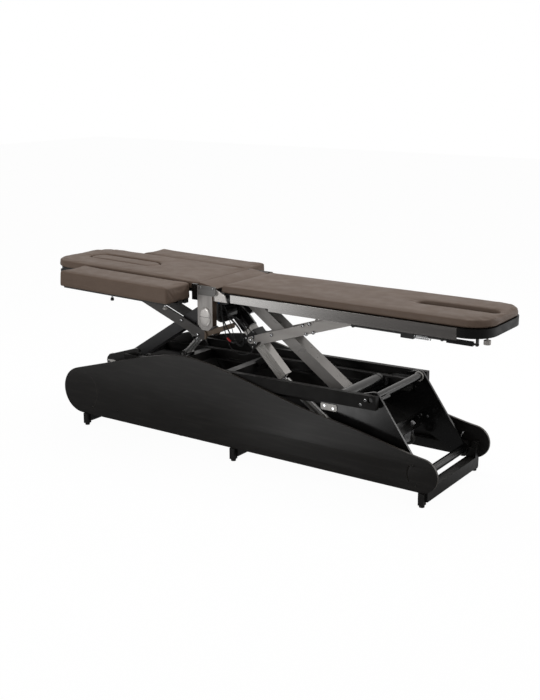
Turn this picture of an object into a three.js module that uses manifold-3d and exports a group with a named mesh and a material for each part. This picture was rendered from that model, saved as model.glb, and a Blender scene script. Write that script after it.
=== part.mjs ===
import * as THREE from "three";
import { mergeVertices } from "three/addons/utils/BufferGeometryUtils.js";
import Module from "manifold-3d";

// A treatment table for traction: millimetres, +X towards the foot end, +Z up, origin on the floor
// under the middle of the table top. Layers across the table are distances from its middle plane.

// Shared clearances and facet counts.
const seatGap = 0.3;
const overrun = 2;
const weldDistance = 0.001;
const tubeSides = 20;
const pinSides = 16;
const boltSides = 6;
const arcSteps = 8;

// Legs and hub axis; the table top follows the hub.
const footHingeZ = 305;
const frameTilt = 1.02;
const legLength = 671.6;
const legAngle = 32.93;
const hubX = -126.302;
const hubBelowTop = 40.9;

// Table top; a drop is a distance below its upper face.
const tableReach = 1050;
const padThickness = 34;
const boardThickness = 12;
const headPadHalfWidth = 186;
const footPadHalfWidth = 182;
const padCornerRadius = 100;
const cushionEdge = 30;
const footPadStart = -105;
const headPadEnd = -205;
const flapEnd = -113;
const flapThin = 3.5;
const flapSlope = 1.5;
const flapReliefX = -160;
const slotStart = 689;
const slotEnd = 1014;
const slotWidth = 54;
const faceSlotStart = -957;
const faceSlotEnd = -574;
const faceSlotWidth = 100;
const faceSlotLedge = 20;
const insertPlay = 1;
const boardHalfWidth = 175.7;
const boardInset = 15;
const headBoardInset = 20;
const notchHalfWidth = 36;
const headNotchEnd = -290;
const footNotchEnd = 110;
const footBoardStart = -85;
const hubReliefLength = 34;
const hubReliefHalfWidth = 22;
const hubReliefHeight = 12;

// Arm pads with their drop trays and knobs.
const armStart = -836;
const armEnd = -240;
const armInner = 187.5;
const armOuter = 348;
const armBottomDrop = 73;
const armTopDrop = 5;
const trayInset = 20;
const trayThickness = 5.7;
const trayInner = 195;
const trayOuterInset = 14;
const dropHingeY = 186;
const dropHingeDrop = 78;
const dropPinRadius = 2;
const dropKnuckleLength = 16;
const dropKnuckleHalf = 4;
const dropLugHalf = 12;
const dropLugRise = 3.4;
const dropLugDrop = 5;
const knobPlaces = [-247, -550];
const knobInset = 24;
const knobRadius = 9;
const knobHeight = 14;
const knobStemRadius = 4;
const knobStemDrop = 7;

// Leg sections and their fittings.
const headSectionTilt = 0.95;
const legDepth = 48;
const legHalfWidth = 32;
const legCutBack = 70;
const footLegSag = 4.41;
const footLegOverhang = 22;
const cheekInner = 20;
const eyeRadius = 21;
const hubShaftRadius = 10;
const headLegTubeRadius = 22;
const headLegTubeReach = 148;
const legPinRadius = 12;
const headLegPinReach = 188.3;
const legLugAlong = 375.6;
const legLugBelow = 82;
const legLugInner = 20.5;
const legLugOuter = 28;
const legLugRadius = 13;
const footLegEyeReach = 18;
const footLegEyeRadius = 19;
const footLegTubeRadius = 30;
const footLegTubeReach = 146;
const footLegBandRadius = 31.5;
const footLegBandWidth = 16;
const shoeInner = 150.3;
const shoeOuter = 167.5;
const shoeHalfHeight = 16.6;
const shoeLength = 70;

// Frame bars, slide rails and their cross members; lengths run along the tilted frame.
const barInner = 196;
const barThickness = 24;
const barHeight = 53;
const barCentreUp = 25.8;
const barStart = 100;
const barRunout = 191.8;
const barBoltRadius = 5;
const barBoltStand = 2;
const barBoltInsets = [64, 44];
const barBoltUps = [14, 34];
const slideInner = 150;
const slideOuter = 175;
const slideWeb = 7;
const slideHalfHeight = 25;
const slideChannelHalf = 17;
const slideStart = -30;
const slideRunout = 144.8;
const crossMemberPlaces = [270, 580];
const crossMemberHalf = 20;
const spacerPlaces = [580, 900];
const spacerTop = 24.7;
const actuatorPinUp = 34;
const upperLugInner = 26;
const upperLugThickness = 8;
const lugHalfLength = 14;
const lowerLugShift = 50;
const bracketOuter = 188;
const bracketLugRadius = 32;
const bracketArmX = 137;
const bracketArmUp = 50;
const bracketArmRadius = 24;
const bracketSpacerX = 128;
const bracketSpacerRadius = 17;
const whitePlateThickness = 3.2;

// Parallelogram: both rockers share this vector from base pivot to frame pivot.
const rockerRun = -194;
const rockerRise = 272;
const rockerPivotUp = 35.7;
const headRockerAlong = 210.9;
const footRockerRunout = 167.7;
const rockerInner = 178;
const rockerThickness = 10;
const rockerLobeRadius = 24;
const sideLobeRadius = 30;
const sideLobeRun = -399;
const sideLobeRise = 204;
const basePinRadius = 12;
const topPinRadius = 10;
const openPivotPlay = 0.8;
const rockerTubeRadius = 16;
const topBushRadius = 14;
const basePinReach = 221;
const topPinReach = 214;
const anchorPlateLength = 72;
const anchorPlateHeight = 27;
const headCrossTubeShare = 0.33;
const stubLength = 60;
const stubRadius = 7;
const stubRise = 24;

// Castor crossbar and castors.
const castorRun = -173;
const castorRise = 100;
const castorLean = 33;
const crossbarWidth = 44;
const crossbarThickness = 8;
const crossbarWebDepth = 26;
const flangeThickness = 6;
const flangeHeight = 40;
const castorSpread = 85;
const castorPlateRadius = 21;
const castorPlateThickness = 4;
const castorStemRadius = 6;
const castorNutRadius = 10;
const castorNutHeight = 8;
const castorOffset = 24;
const castorDrop = 56;
const wheelRadius = 25;
const wheelWidth = 22;
const wheelHubRadius = 9;
const axleRadius = 4;
const forkThickness = 3;
const forkPlay = 1;
const forkArmRadius = 13;

// Base.
const coverInner = 223;
const coverThickness = 12;
const coverHeadReach = 252;
const coverFootReach = 98;
const coverBottomZ = 55;
const coverPeakZ = 404;
const coverHeadRadius = 103;
const coverFootRadius = 66;
const coverHeadLeaveAngle = 106;
const coverFootMeetAngle = 80;
const coverEdgeShares = [
  [0.211, 0.831], [0.275, 0.92], [0.332, 0.98], [0.381, 1], [0.446, 0.957],
  [0.528, 0.862], [0.682, 0.668], [0.803, 0.553], [0.929, 0.413],
];
const coverScrewShares = [
  [0.0913, 0.1032], [0.1686, 0.1261], [0.3598, 0.2092], [0.9541, 0.063], [0.9471, 0.2837],
];
const coverScrewRadius = 6;
const coverScrewHeight = 2.5;
const baseRailInner = 192;
const baseRailHeadReach = 190;
const baseRailFootReach = 57;
const baseRailBottomZ = 66.3;
const baseRailTopZ = 104;
const baseBossRadius = 30;
const headBossRadius = 24;
const endPostWidth = 22;
const endPostTopZ = 128;
const headBeamInset = 62;
const middleBeamX = -6;
const beamHalf = 20;
const beamBottomZ = 20;
const footBlockInner = 215;
const footBlockOuter = 240;
const footBlockWidth = 22;
const footBlockBottomZ = 8;
const levellingRadius = 10.5;
const driveBeamX = 270;
const lowerPinZ = 120;
const lowerActuatorY = 80;
const controlBoxInset = 30;
const controlBoxLength = 200;
const controlBoxHalfWidth = 120;
const controlBoxHeight = 50;

// Centre column.
const sideBoxInner = 52;
const sideBoxOuter = 186.2;
const sideBoxStart = -165;
const sideBoxEnd = -113;
const sideBoxBottomDrop = 71;
const sideBoxTopDrop = 31;
const unitPivotX = -157;
const unitPivotDrop = 134;
const hangerThickness = 8;
const hangerRadius = 16;
const housingX = -143;
const housingRadius = 38;
const housingReach = 120;
const columnInner = 192;
const columnThickness = 8;
const columnBackInner = 172;
const columnStart = -201;
const columnEnd = -125;
const columnBottomDrop = 193;
const columnTopDrop = 11;
const columnChamfer = 22;
const labelThickness = 2.7;
const labelStart = -196;
const labelEnd = -106;
const labelBottomDrop = 47;
const labelTopDrop = 8;
const labelCornerRadius = 14;
const labelScrewRadius = 4;
const capX = -160;
const capDrop = 136;
const capHalfWidth = 27;
const capHalfHeight = 40;
const capThickness = 6;
const capSplitGap = 1.6;
const capSplitDepth = 2.5;
const hingeBlockStart = -229;
const hingeBlockTopDrop = 6;
const wedgeInner = 186.5;
const wedgeOuter = 191.7;
const wedgeStart = -140;
const wedgeEnd = -58;
const wedgeBottomDrop = 68;
const wedgeTopDrop = 21;
const wedgeCurve = 10;

// Section underframes.
const frameRailBottomDrop = 68;
const frameRailInner = 60;
const frameRailOuter = 85;
const frameCrossHalf = 12;
const crossReach = 170;
const headArmInner = 34;
const footArmInner = 43;
const headUnderframeInset = 53;
const headUnderframeEnd = -300;
const headCrossPlaces = [-760, -420];
const headArmReach = -432;
const footUnderframeStart = -20;
const footUnderframeInset = 16;
const footCrossPlaces = [240, 480, 660];
const footCrossReach = 135;
const footArmReach = 252;
const footEyeRadius = 18.5;

// Section levers.
const leverInner = 40;
const leverOuter = 50;
const headArmOuter = 41;
const headLeverTipX = -292;
const headLeverTipDrop = 264;
const headLeverRootX = -755;
const headLeverRootDrop = 95.5;
const headLeverRadius = 21.5;
const headForkReach = 94;
const headForkRise = 38;
const headForkRadius = 11;
const headForkInner = 34.5;
const leverTieRadius = 8;
const leverBoltRadius = 7;
const leverBoltHeight = 4;
const headLeverBoltPlaces = [[-404, 216], [-315, 266]];
const footLeverBoltPlaces = [[62, 210], [212, 150], [243, 140], [229, 184], [262, 173]];
const footLeverStartX = 7;
const footLeverStartDrop = 258;
const footLeverDepth = 44;
const footLeverSlope = 17.8;
const footLeverRun = 424;
const footLeverEndX = 500;
const noseRadius = 15;
const noseRun = 40;

// Foot side rails and end cap.
const sideRailInner = 176;
const sideRailOuter = 186;
const sideRailStart = -47;
const endCapLength = 109.7;
const endCapInset = 4;
const endCapRadius = 96;
const sideRailLipStart = 136;
const sideRailLipInner = 181;
const sideRailLipDrop = 11;

// Release rod with its lock block, spring, handle and knob under the foot end.
const rodY = -150;
const rodDrop = 92;
const releaseRodRadius = 4;
const releaseRodStart = 490;
const releaseRodInset = 44;
const rodHangerPlaces = [500, 866];
const rodHangerWidth = 8;
const rodHangerHalf = 6;
const lockBlockStart = 705;
const lockBlockLength = 52;
const lockBlockHalf = 13;
const springEnd = 820;
const springRadius = 11;
const springWireRadius = 1.8;
const springTurns = 8;
const handleStart = 884;
const handleLength = 102;
const handleHalfHeight = 8;
const handleHalfDepth = 7;
const rodPlay = 0.4;
const endKnobInset = 20;
const endKnobY = -134;
const endKnobRadius = 13;
const endKnobBottomDrop = 91;
const endKnobHeight = 16;

// Foot-tilt drive unit; lengths run along its own axis from its pivot.
const unitAngle = 45.5;
const unitPinRadius = 6;
const unitPinReach = 59.7;
const motorRadius = 34;
const motorEnd = 106;
const motorNoseShares = [[-0.42, 0], [-0.42, 0.34], [-0.25, 0.7], [0.03, 0.94], [0.18, 1]];
const profileHalf = 22;
const profileEnd = 360;
const profileGroove = 5;
const profileGrooveDepth = 3;
const profileGroovePlaces = [-11, 0, 11];
const carriageAlong = 160;
const carriageHalfLength = 30;
const carriageWall = 11;
const carriagePinRadius = 8;
const carriagePinReach = 39.7;

// Lift actuators; lengths run along each one's axis from its base pin.
const upperEyeRadius = 11;
const upperEyeReach = 25.7;
const upperBarrelRadius = 10;
const upperBarrelSpread = 14;
const upperBarrelStart = 14;
const upperBarrelEnd = 92;
const upperRodRadius = 6;
const upperRodOverlap = 66;
const upperRodRetract = 19.5;
const upperTipReach = 20.2;
const lowerPinRadius = 7;
const lowerEyeReach = 13;
const lowerLugThickness = 7;
const lowerBarrelRadius = 18;
const lowerBarrelStart = 12;
const lowerBarrelEnd = 270;
const lowerRodRadius = 9;
const lowerEyeRadius = 12;
const lowerRodDepth = 110;
const lowerRodRetract = 62;

// Wiring beside the column.
const cableRadius = 3;
const cableSides = 8;
const cableSteps = 26;
const hubCableRoute = [
  [-119, -150, 74], [-119, -150, 89], [-110, -148, 151], [-62, -140, 231], [-40, -128, 255],
  [-34, -114, 241], [-46, -122, 191], [-88, -127, 150], [-122, -125, 137], [-140, -124.5, 134],
];
const connectorHalf = 9;
const connectorHeight = 15;
const connectorLength = 24;

// Derived sizes.
const degree = Math.PI / 180;
const hubZ = footHingeZ + legLength * Math.sin(legAngle * degree);
const footHingeX = hubX - legLength * Math.cos(legAngle * degree);
const tableTopZ = hubZ + hubBelowTop;
const coverOuter = coverInner + coverThickness;
const baseRailOuter = coverInner - seatGap;
const barOuter = barInner + barThickness;
const rockerOuter = rockerInner + rockerThickness;
const columnOuter = columnInner + columnThickness;
const padBottomZ = tableTopZ - padThickness;
const boardTopZ = padBottomZ - seatGap;
const boardBottomZ = boardTopZ - boardThickness;
const frameRailTopZ = boardBottomZ - seatGap;
const footLegSlope = legAngle - frameTilt - frameTilt;
const shoeAlong = 2 * legLength * Math.cos((legAngle - frameTilt) * degree);
const armBottomZ = tableTopZ - armBottomDrop;
const armTopZ = tableTopZ - armTopDrop;
const dropHingeZ = tableTopZ - dropHingeDrop;
const sideBoxBottomZ = tableTopZ - sideBoxBottomDrop;
const sideBoxTopZ = tableTopZ - sideBoxTopDrop;
const unitPivotZ = tableTopZ - unitPivotDrop;
const columnBottomZ = tableTopZ - columnBottomDrop;
const columnTopZ = tableTopZ - columnTopDrop;
const labelBottomZ = tableTopZ - labelBottomDrop;
const labelTopZ = tableTopZ - labelTopDrop;
const capZ = tableTopZ - capDrop;
const hingeBlockTopZ = tableTopZ - hingeBlockTopDrop;
const wedgeBottomZ = tableTopZ - wedgeBottomDrop;
const wedgeTopZ = tableTopZ - wedgeTopDrop;
const frameRailBottomZ = tableTopZ - frameRailBottomDrop;
const headLeverTipZ = tableTopZ - headLeverTipDrop;
const headLeverRootZ = tableTopZ - headLeverRootDrop;
const footLeverStartZ = tableTopZ - footLeverStartDrop;
const rodZ = tableTopZ - rodDrop;
const endKnobBottomZ = tableTopZ - endKnobBottomDrop;
const barEnd = shoeAlong + barRunout;
const slideEnd = shoeAlong + slideRunout;
const footRockerAlong = shoeAlong + footRockerRunout;
const endCapReach = tableReach - endCapInset;
const endCapStart = endCapReach - endCapLength;
const endKnobX = tableReach - endKnobInset;
const footUnderframeEnd = tableReach - footUnderframeInset;
const headUnderframeStart = headUnderframeInset - tableReach;
const releaseRodEnd = tableReach - releaseRodInset;

// A place given along and above the tilted lift frame, in the part's frame.
function onFrame(along, up) {
  return {
    x: footHingeX + along * Math.cos(frameTilt * degree) - up * Math.sin(frameTilt * degree),
    z: footHingeZ + along * Math.sin(frameTilt * degree) + up * Math.cos(frameTilt * degree),
  };
}

const footRockerTop = onFrame(footRockerAlong, rockerPivotUp);
const headRockerTop = onFrame(headRockerAlong, rockerPivotUp);
const footRockerBase = { x: footRockerTop.x - rockerRun, z: footRockerTop.z - rockerRise };
const headRockerBase = { x: headRockerTop.x - rockerRun, z: headRockerTop.z - rockerRise };
const coverStart = footHingeX - coverHeadReach;
const coverEnd = footRockerBase.x + coverFootReach;
const baseRailStart = footHingeX - baseRailHeadReach;
const baseRailEnd = footRockerBase.x + baseRailFootReach;
const beamPlaces = [baseRailStart + headBeamInset, middleBeamX, baseRailEnd - beamHalf];
const controlBoxStart = baseRailStart + controlBoxInset;

// Booleans: a closed mesh with merged vertices becomes a solid, and comes back as a geometry.
const wasm = await Module();
wasm.setup();

function toSolid(geometry) {
  const plain = geometry.index ? geometry.toNonIndexed() : geometry.clone();
  plain.deleteAttribute("normal");
  plain.deleteAttribute("uv");
  const merged = mergeVertices(plain, weldDistance);
  const corners = merged.index.array;
  const kept = [];
  for (let first = 0; first < corners.length; first += 3) {
    const [a, b, c] = corners.slice(first, first + 3);
    if (a !== b && b !== c && c !== a) kept.push(a, b, c);
  }
  return new wasm.Manifold(new wasm.Mesh({
    numProp: 3,
    vertProperties: new Float32Array(merged.attributes.position.array),
    triVerts: new Uint32Array(kept),
  }));
}

function toGeometry(solid) {
  const mesh = solid.getMesh();
  const geometry = new THREE.BufferGeometry();
  geometry.setAttribute("position", new THREE.BufferAttribute(new Float32Array(mesh.vertProperties), 3));
  geometry.setIndex(new THREE.BufferAttribute(new Uint32Array(mesh.triVerts), 1));
  geometry.computeVertexNormals();
  return geometry;
}

function join(...pieces) {
  return toGeometry(pieces.flat().map(toSolid).reduce((whole, piece) => whole.add(piece)));
}

function cut(piece, ...tools) {
  return toGeometry(tools.flat().map(toSolid).reduce((left, tool) => left.subtract(tool), toSolid(piece)));
}

// Plain shapes, placed by their limits.
function block(x0, x1, y0, y1, z0, z1) {
  const geometry = new THREE.BoxGeometry(x1 - x0, y1 - y0, z1 - z0);
  return geometry.translate((x0 + x1) / 2, (y0 + y1) / 2, (z0 + z1) / 2);
}

// A flat plate whose outline lies in X and Z, from y0 to y1.
function plate(outline, y0, y1) {
  const geometry = new THREE.ExtrudeGeometry(new THREE.Shape(outline), { depth: y1 - y0,
    bevelEnabled: false });
  return geometry.rotateX(Math.PI / 2).translate(0, y1, 0);
}

// A flat slab whose outline lies in X and Y, from z0 to z1.
function slab(outline, z0, z1) {
  const geometry = new THREE.ExtrudeGeometry(new THREE.Shape(outline), { depth: z1 - z0,
    bevelEnabled: false });
  return geometry.translate(0, 0, z0);
}

function crossRod(x, z, radius, y0, y1, sides = pinSides) {
  const geometry = new THREE.CylinderGeometry(radius, radius, y1 - y0, sides);
  return geometry.translate(x, (y0 + y1) / 2, z);
}

function uprightRod(x, y, radius, z0, z1, sides = pinSides) {
  const geometry = new THREE.CylinderGeometry(radius, radius, z1 - z0, sides);
  return geometry.rotateX(Math.PI / 2).translate(x, y, (z0 + z1) / 2);
}

function lengthRod(x0, x1, y, z, radius, sides = pinSides) {
  const geometry = new THREE.CylinderGeometry(radius, radius, x1 - x0, sides);
  return geometry.rotateZ(Math.PI / 2).translate((x0 + x1) / 2, y, z);
}

// A round shaft across the table whose radius changes at each reach from the middle outwards.
function steppedShaft(x, z, steps, sides = pinSides) {
  const half = [];
  let inner = 0;
  for (const [radius, reach] of steps) {
    if (inner > 0) half.push([radius, inner]);
    half.push([radius, reach]);
    inner = reach;
  }
  const far = half.map(([radius, reach]) => new THREE.Vector2(radius, reach));
  const near = half.map(([radius, reach]) => new THREE.Vector2(radius, -reach)).reverse();
  const profile = [new THREE.Vector2(0, -inner), ...near, ...far, new THREE.Vector2(0, inner)];
  return new THREE.LatheGeometry(profile, sides).translate(x, 0, z);
}

function bothSides(make, inner, outer) {
  return [make(-outer, -inner), make(inner, outer)];
}

const blockPair = (x0, x1, z0, z1, inner, outer) =>
  bothSides((y0, y1) => block(x0, x1, y0, y1, z0, z1), inner, outer);
const platePair = (outline, inner, outer) => bothSides((y0, y1) => plate(outline, y0, y1), inner, outer);
const rodPair = (x, z, radius, inner, outer, sides = pinSides) =>
  bothSides((y0, y1) => crossRod(x, z, radius, y0, y1, sides), inner, outer);

const points = (pairs) => pairs.map(([x, z]) => new THREE.Vector2(x, z));

function arc(x, z, radius, fromAngle, toAngle, steps = arcSteps) {
  const along = [];
  for (let step = 0; step <= steps; step += 1) {
    const angle = (fromAngle + (toAngle - fromAngle) * step / steps) * degree;
    along.push(new THREE.Vector2(x + radius * Math.cos(angle), z + radius * Math.sin(angle)));
  }
  return along;
}

// The outline of a belt stretched round some circles.
function belt(circles, steps = tubeSides) {
  const cloud = circles.flatMap(({ x, z, radius }) => arc(x, z, radius, 0, 360, steps));
  cloud.sort((a, b) => a.x - b.x || a.y - b.y);
  const turn = (a, b, c) => (b.x - a.x) * (c.y - a.y) - (b.y - a.y) * (c.x - a.x);
  const chain = (list) => {
    const hull = [];
    for (const point of list) {
      while (hull.length > 1 && turn(hull[hull.length - 2], hull[hull.length - 1],
        point) <= weldDistance) hull.pop();
      hull.push(point);
    }
    return hull.slice(0, -1);
  };
  return [...chain(cloud), ...chain(cloud.reverse())];
}

const circle = (x, z, radius) => ({ x, z, radius });

// A rectangle with rounded corners: one radius at its start, one at its end.
function roundedRectangle(x0, x1, y0, y1, startRadius, endRadius, steps = arcSteps) {
  return [
    ...arc(x1 - endRadius, y0 + endRadius, endRadius, -90, 0, steps),
    ...arc(x1 - endRadius, y1 - endRadius, endRadius, 0, 90, steps),
    ...arc(x0 + startRadius, y1 - startRadius, startRadius, 90, 180, steps),
    ...arc(x0 + startRadius, y0 + startRadius, startRadius, 180, 270, steps),
  ];
}

const stadium = (x0, x1, halfWidth) => roundedRectangle(x0, x1, -halfWidth, halfWidth, halfWidth, halfWidth);

// A cushion: rings of one outline at changing insets and heights. Its sides draw in at the seam below,
// swell at mid height, roll over at the edge and rise to a crown in the middle.
const cushionRingShares = [
  [0.15, 0], [0.02, 0.16], [0, 0.5], [0.05, 0.76], [0.2, 0.9], [0.6, 0.955], [1.6, 0.985], [2.6, 1],
];
const leastCornerShare = 0.2;

function cushion(x0, x1, y0, y1, startRadius, endRadius, z0, z1, edge = cushionEdge, steps = arcSteps) {
  const positions = [];
  const faces = [];
  const rings = cushionRingShares.map(([insetShare, heightShare]) => {
    const inset = insetShare * edge;
    const startCorner = Math.max(startRadius - inset, startRadius * leastCornerShare);
    const endCorner = Math.max(endRadius - inset, endRadius * leastCornerShare);
    const height = z0 + heightShare * (z1 - z0);
    const outline = roundedRectangle(x0 + inset, x1 - inset, y0 + inset, y1 - inset, startCorner,
      endCorner, steps);
    return outline.map((point) => [point.x, point.y, height]);
  });
  const count = rings[0].length;
  for (const ring of rings) positions.push(...ring.flat());
  for (let level = 0; level + 1 < rings.length; level += 1) {
    for (let index = 0; index < count; index += 1) {
      const here = level * count + index;
      const next = level * count + (index + 1) % count;
      faces.push(here, next, next + count, here, next + count, here + count);
    }
  }
  const bottomCentre = positions.length / 3;
  positions.push((x0 + x1) / 2, (y0 + y1) / 2, z0, (x0 + x1) / 2, (y0 + y1) / 2, z1);
  const lastRing = (rings.length - 1) * count;
  for (let index = 0; index < count; index += 1) {
    const next = (index + 1) % count;
    faces.push(bottomCentre, next, index);
    faces.push(bottomCentre + 1, lastRing + index, lastRing + next);
  }
  const geometry = new THREE.BufferGeometry();
  geometry.setAttribute("position", new THREE.Float32BufferAttribute(positions, 3));
  geometry.setIndex(faces);
  return geometry;
}

// Finishes.
const finish = (color, roughness, metalness) => new THREE.MeshStandardMaterial({ color, roughness,
  metalness });
const vinyl = finish(0x7d7067, 0.55, 0);
const satinBlack = finish(0x1c1b1a, 0.45, 0.1);
const glossBlack = finish(0x0d0d0e, 0.18, 0.2);
const darkGrey = finish(0x4a4c4e, 0.42, 0.3);
const paleGrey = finish(0x9a9b9a, 0.3, 0.4);
const aluminium = finish(0xc4c6c6, 0.35, 0.85);
const brushed = finish(0x8f9192, 0.4, 0.85);
const chrome = finish(0xd5d7d8, 0.12, 1);
const zinc = finish(0xa9abac, 0.35, 0.9);
const whitePaint = finish(0xe6e4de, 0.4, 0);
const boardBlack = finish(0x24221f, 0.8, 0);
const greyRubber = finish(0x5d5d5c, 0.8, 0);
const blackPlastic = finish(0x17181a, 0.5, 0);

function place(group, name, geometry, material) {
  const mesh = new THREE.Mesh(geometry, material);
  mesh.name = name;
  group.add(mesh);
}

function placePair(group, name, [near, far], material) {
  place(group, `${name}_near`, near, material);
  place(group, `${name}_far`, far, material);
}

// A group that turns its pieces about an axis across the table; its pieces keep the part's frame.
function turnedAbout(x, z, angle) {
  const outer = new THREE.Group();
  outer.position.set(x, 0, z);
  outer.rotation.y = angle * degree;
  const inner = new THREE.Group();
  inner.position.set(-x, 0, -z);
  outer.add(inner);
  return { outer, inner };
}

// A group whose own X axis starts at a place and points down the given angle.
function pointed(x, y, z, angle) {
  const group = new THREE.Group();
  group.position.set(x, y, z);
  group.rotation.y = angle * degree;
  return group;
}

const table = new THREE.Group();

// Side covers: a round end at each side and an arched top edge between them.
function coverOutline() {
  const length = coverEnd - coverStart;
  const rise = coverPeakZ - coverBottomZ;
  const headEnd = arc(coverStart + coverHeadRadius, coverBottomZ + coverHeadRadius, coverHeadRadius,
    270, coverHeadLeaveAngle, 2 * arcSteps);
  const footEnd = arc(coverEnd - coverFootRadius, coverBottomZ + coverFootRadius, coverFootRadius,
    coverFootMeetAngle, -90, 2 * arcSteps);
  const crest = coverEdgeShares.map(([along, up]) =>
    new THREE.Vector2(coverStart + along * length, coverBottomZ + up * rise));
  const edge = new THREE.SplineCurve([headEnd[headEnd.length - 1], ...crest, footEnd[0]]);
  return [...headEnd, ...edge.getPoints(4 * arcSteps).slice(1, -1), ...footEnd];
}

function addCovers() {
  const shells = platePair(coverOutline(), coverInner, coverOuter);
  const length = coverEnd - coverStart;
  const rise = coverPeakZ - coverBottomZ;
  const places = coverScrewShares.map(([along, up]) => [coverStart + along * length,
    coverBottomZ + up * rise]);
  const screws = places.map(([x, z]) =>
    rodPair(x, z, coverScrewRadius, coverOuter - overrun, coverOuter + coverScrewHeight, boltSides));
  const covers = shells.map((shell, index) => join(shell, screws.map((pair) => pair[index])));
  placePair(table, "side_cover", covers, satinBlack);
}

// Base frame: rails with pivot bosses and end posts, the drive beam that holds the lower actuator, and
// three beams with their foot blocks and levelling feet.
function addBase() {
  const basePlay = basePinRadius + seatGap;
  const rails = blockPair(baseRailStart, baseRailEnd, baseRailBottomZ, baseRailTopZ, baseRailInner,
    baseRailOuter);
  const posts = blockPair(baseRailEnd - endPostWidth, baseRailEnd, baseRailBottomZ, endPostTopZ,
    barInner, baseRailOuter);
  const bosses = [
    ...rodPair(footRockerBase.x, footRockerBase.z, baseBossRadius, baseRailInner, baseRailOuter, tubeSides),
    ...rodPair(headRockerBase.x, headRockerBase.z, headBossRadius, baseRailInner, baseRailOuter, tubeSides),
  ];
  const driveBeam = block(driveBeamX - beamHalf, driveBeamX + beamHalf, -baseRailInner - overrun,
    baseRailInner + overrun, baseRailBottomZ, baseRailTopZ);
  const lugInner = lowerEyeReach + seatGap;
  const lugs = [-1, 1].map((side) => {
    const inner = lowerActuatorY + side * lugInner;
    const outer = lowerActuatorY + side * (lugInner + lowerLugThickness);
    const outline = belt([circle(driveBeamX, lowerPinZ, lowerEyeRadius), circle(driveBeamX,
      baseRailTopZ - overrun, lowerEyeRadius)]);
    return plate(outline, Math.min(inner, outer), Math.max(inner, outer));
  });
  const bores = [
    ...rodPair(footRockerBase.x, footRockerBase.z, basePlay, baseRailInner - overrun, baseRailOuter
    + overrun),
    ...rodPair(headRockerBase.x, headRockerBase.z, topPinRadius + seatGap, baseRailInner - overrun,
      baseRailOuter + overrun),
    crossRod(driveBeamX, lowerPinZ, lowerPinRadius + seatGap, 0, 2 * lowerActuatorY),
  ];
  const beams = beamPlaces.map((x) => block(x - beamHalf, x + beamHalf, -baseRailOuter, baseRailOuter,
    beamBottomZ, baseRailBottomZ));
  const welds = beamPlaces.flatMap((x) => blockPair(x - beamHalf, x + beamHalf, baseRailBottomZ - overrun,
    baseRailBottomZ + overrun, baseRailInner, baseRailOuter));
  const blocks = beamPlaces.flatMap((x) => blockPair(x - footBlockWidth / 2, x + footBlockWidth / 2,
    footBlockBottomZ, coverBottomZ - seatGap, footBlockInner, footBlockOuter));
  const footY = (footBlockInner + footBlockOuter) / 2;
  const feet = beamPlaces.flatMap((x) => [-footY, footY].map((y) =>
    uprightRod(x, y, levellingRadius, 0, footBlockBottomZ + overrun, 2 * boltSides)));
  const frame = join(rails, posts, bosses, driveBeam, lugs, beams, welds, blocks, feet);
  place(table, "base_frame", cut(frame, bores), satinBlack);
  place(table, "control_box", block(controlBoxStart, controlBoxStart + controlBoxLength, -controlBoxHalfWidth,
    controlBoxHalfWidth, baseRailBottomZ + seatGap, baseRailBottomZ + controlBoxHeight), blackPlastic);
}

// Foot rocker: two three-lobed plates, two through tubes and the leaning castor crossbar.
function addFootRocker() {
  const base = footRockerBase;
  const top = footRockerTop;
  const side = { x: base.x + sideLobeRun, z: base.z + sideLobeRise };
  const outline = belt([circle(base.x, base.z, rockerLobeRadius), circle(top.x, top.z, rockerLobeRadius),
    circle(side.x, side.z, sideLobeRadius)]);
  const plates = platePair(outline, rockerInner, rockerOuter);
  const baseTube = steppedShaft(base.x, base.z, [[rockerTubeRadius, baseRailInner - seatGap],
    [basePinRadius, basePinReach]]);
  const topTube = steppedShaft(top.x, top.z, [[rockerTubeRadius, rockerOuter], [topBushRadius,
    barInner - seatGap], [topPinRadius, topPinReach]]);
  const stub = crossRod(top.x + stubRise, top.z - overrun, stubRadius, -rockerInner - overrun,
    stubLength - rockerInner);
  place(table, "foot_rocker", join(plates, baseTube, topTube, stub, castorCrossbar()), glossBlack);

  const bushInner = rockerOuter + seatGap;
  const anchorOutline = roundedRectangle(side.x - anchorPlateLength / 2 + beamHalf / 2,
    side.x + anchorPlateLength / 2 + beamHalf / 2, side.z - anchorPlateHeight / 2, side.z
    + anchorPlateHeight / 2, stubRadius, stubRadius, 3);
  placePair(table, "anchor_plate", platePair(anchorOutline, bushInner, bushInner + whitePlateThickness),
    whitePaint);
}

// The crossbar is a flat bar with a web below it and a bolted flange at each rocker plate.
function castorCrossbar() {
  const middle = { x: footRockerBase.x + castorRun, z: footRockerBase.z + castorRise };
  const reach = rockerInner + overrun;
  const bar = block(-crossbarWidth / 2, crossbarWidth / 2, -reach, reach, -crossbarThickness / 2,
    crossbarThickness / 2);
  const web = block(-crossbarWidth / 2, -crossbarWidth / 2 + crossbarThickness, -reach, reach,
    -crossbarThickness / 2, crossbarWebDepth - crossbarThickness / 2);
  const flanges = blockPair(-crossbarWidth / 2, crossbarWidth / 2, -crossbarThickness / 2,
    flangeHeight - crossbarThickness / 2, reach - flangeThickness, reach);
  const stemHoles = [-castorSpread, castorSpread].map((y) =>
    uprightRod(0, y, castorStemRadius + seatGap, -crossbarThickness, crossbarThickness));
  const whole = cut(join(bar, web, flanges), stemHoles);
  return whole.rotateY(castorLean * degree).translate(middle.x, 0, middle.z);
}

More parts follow.
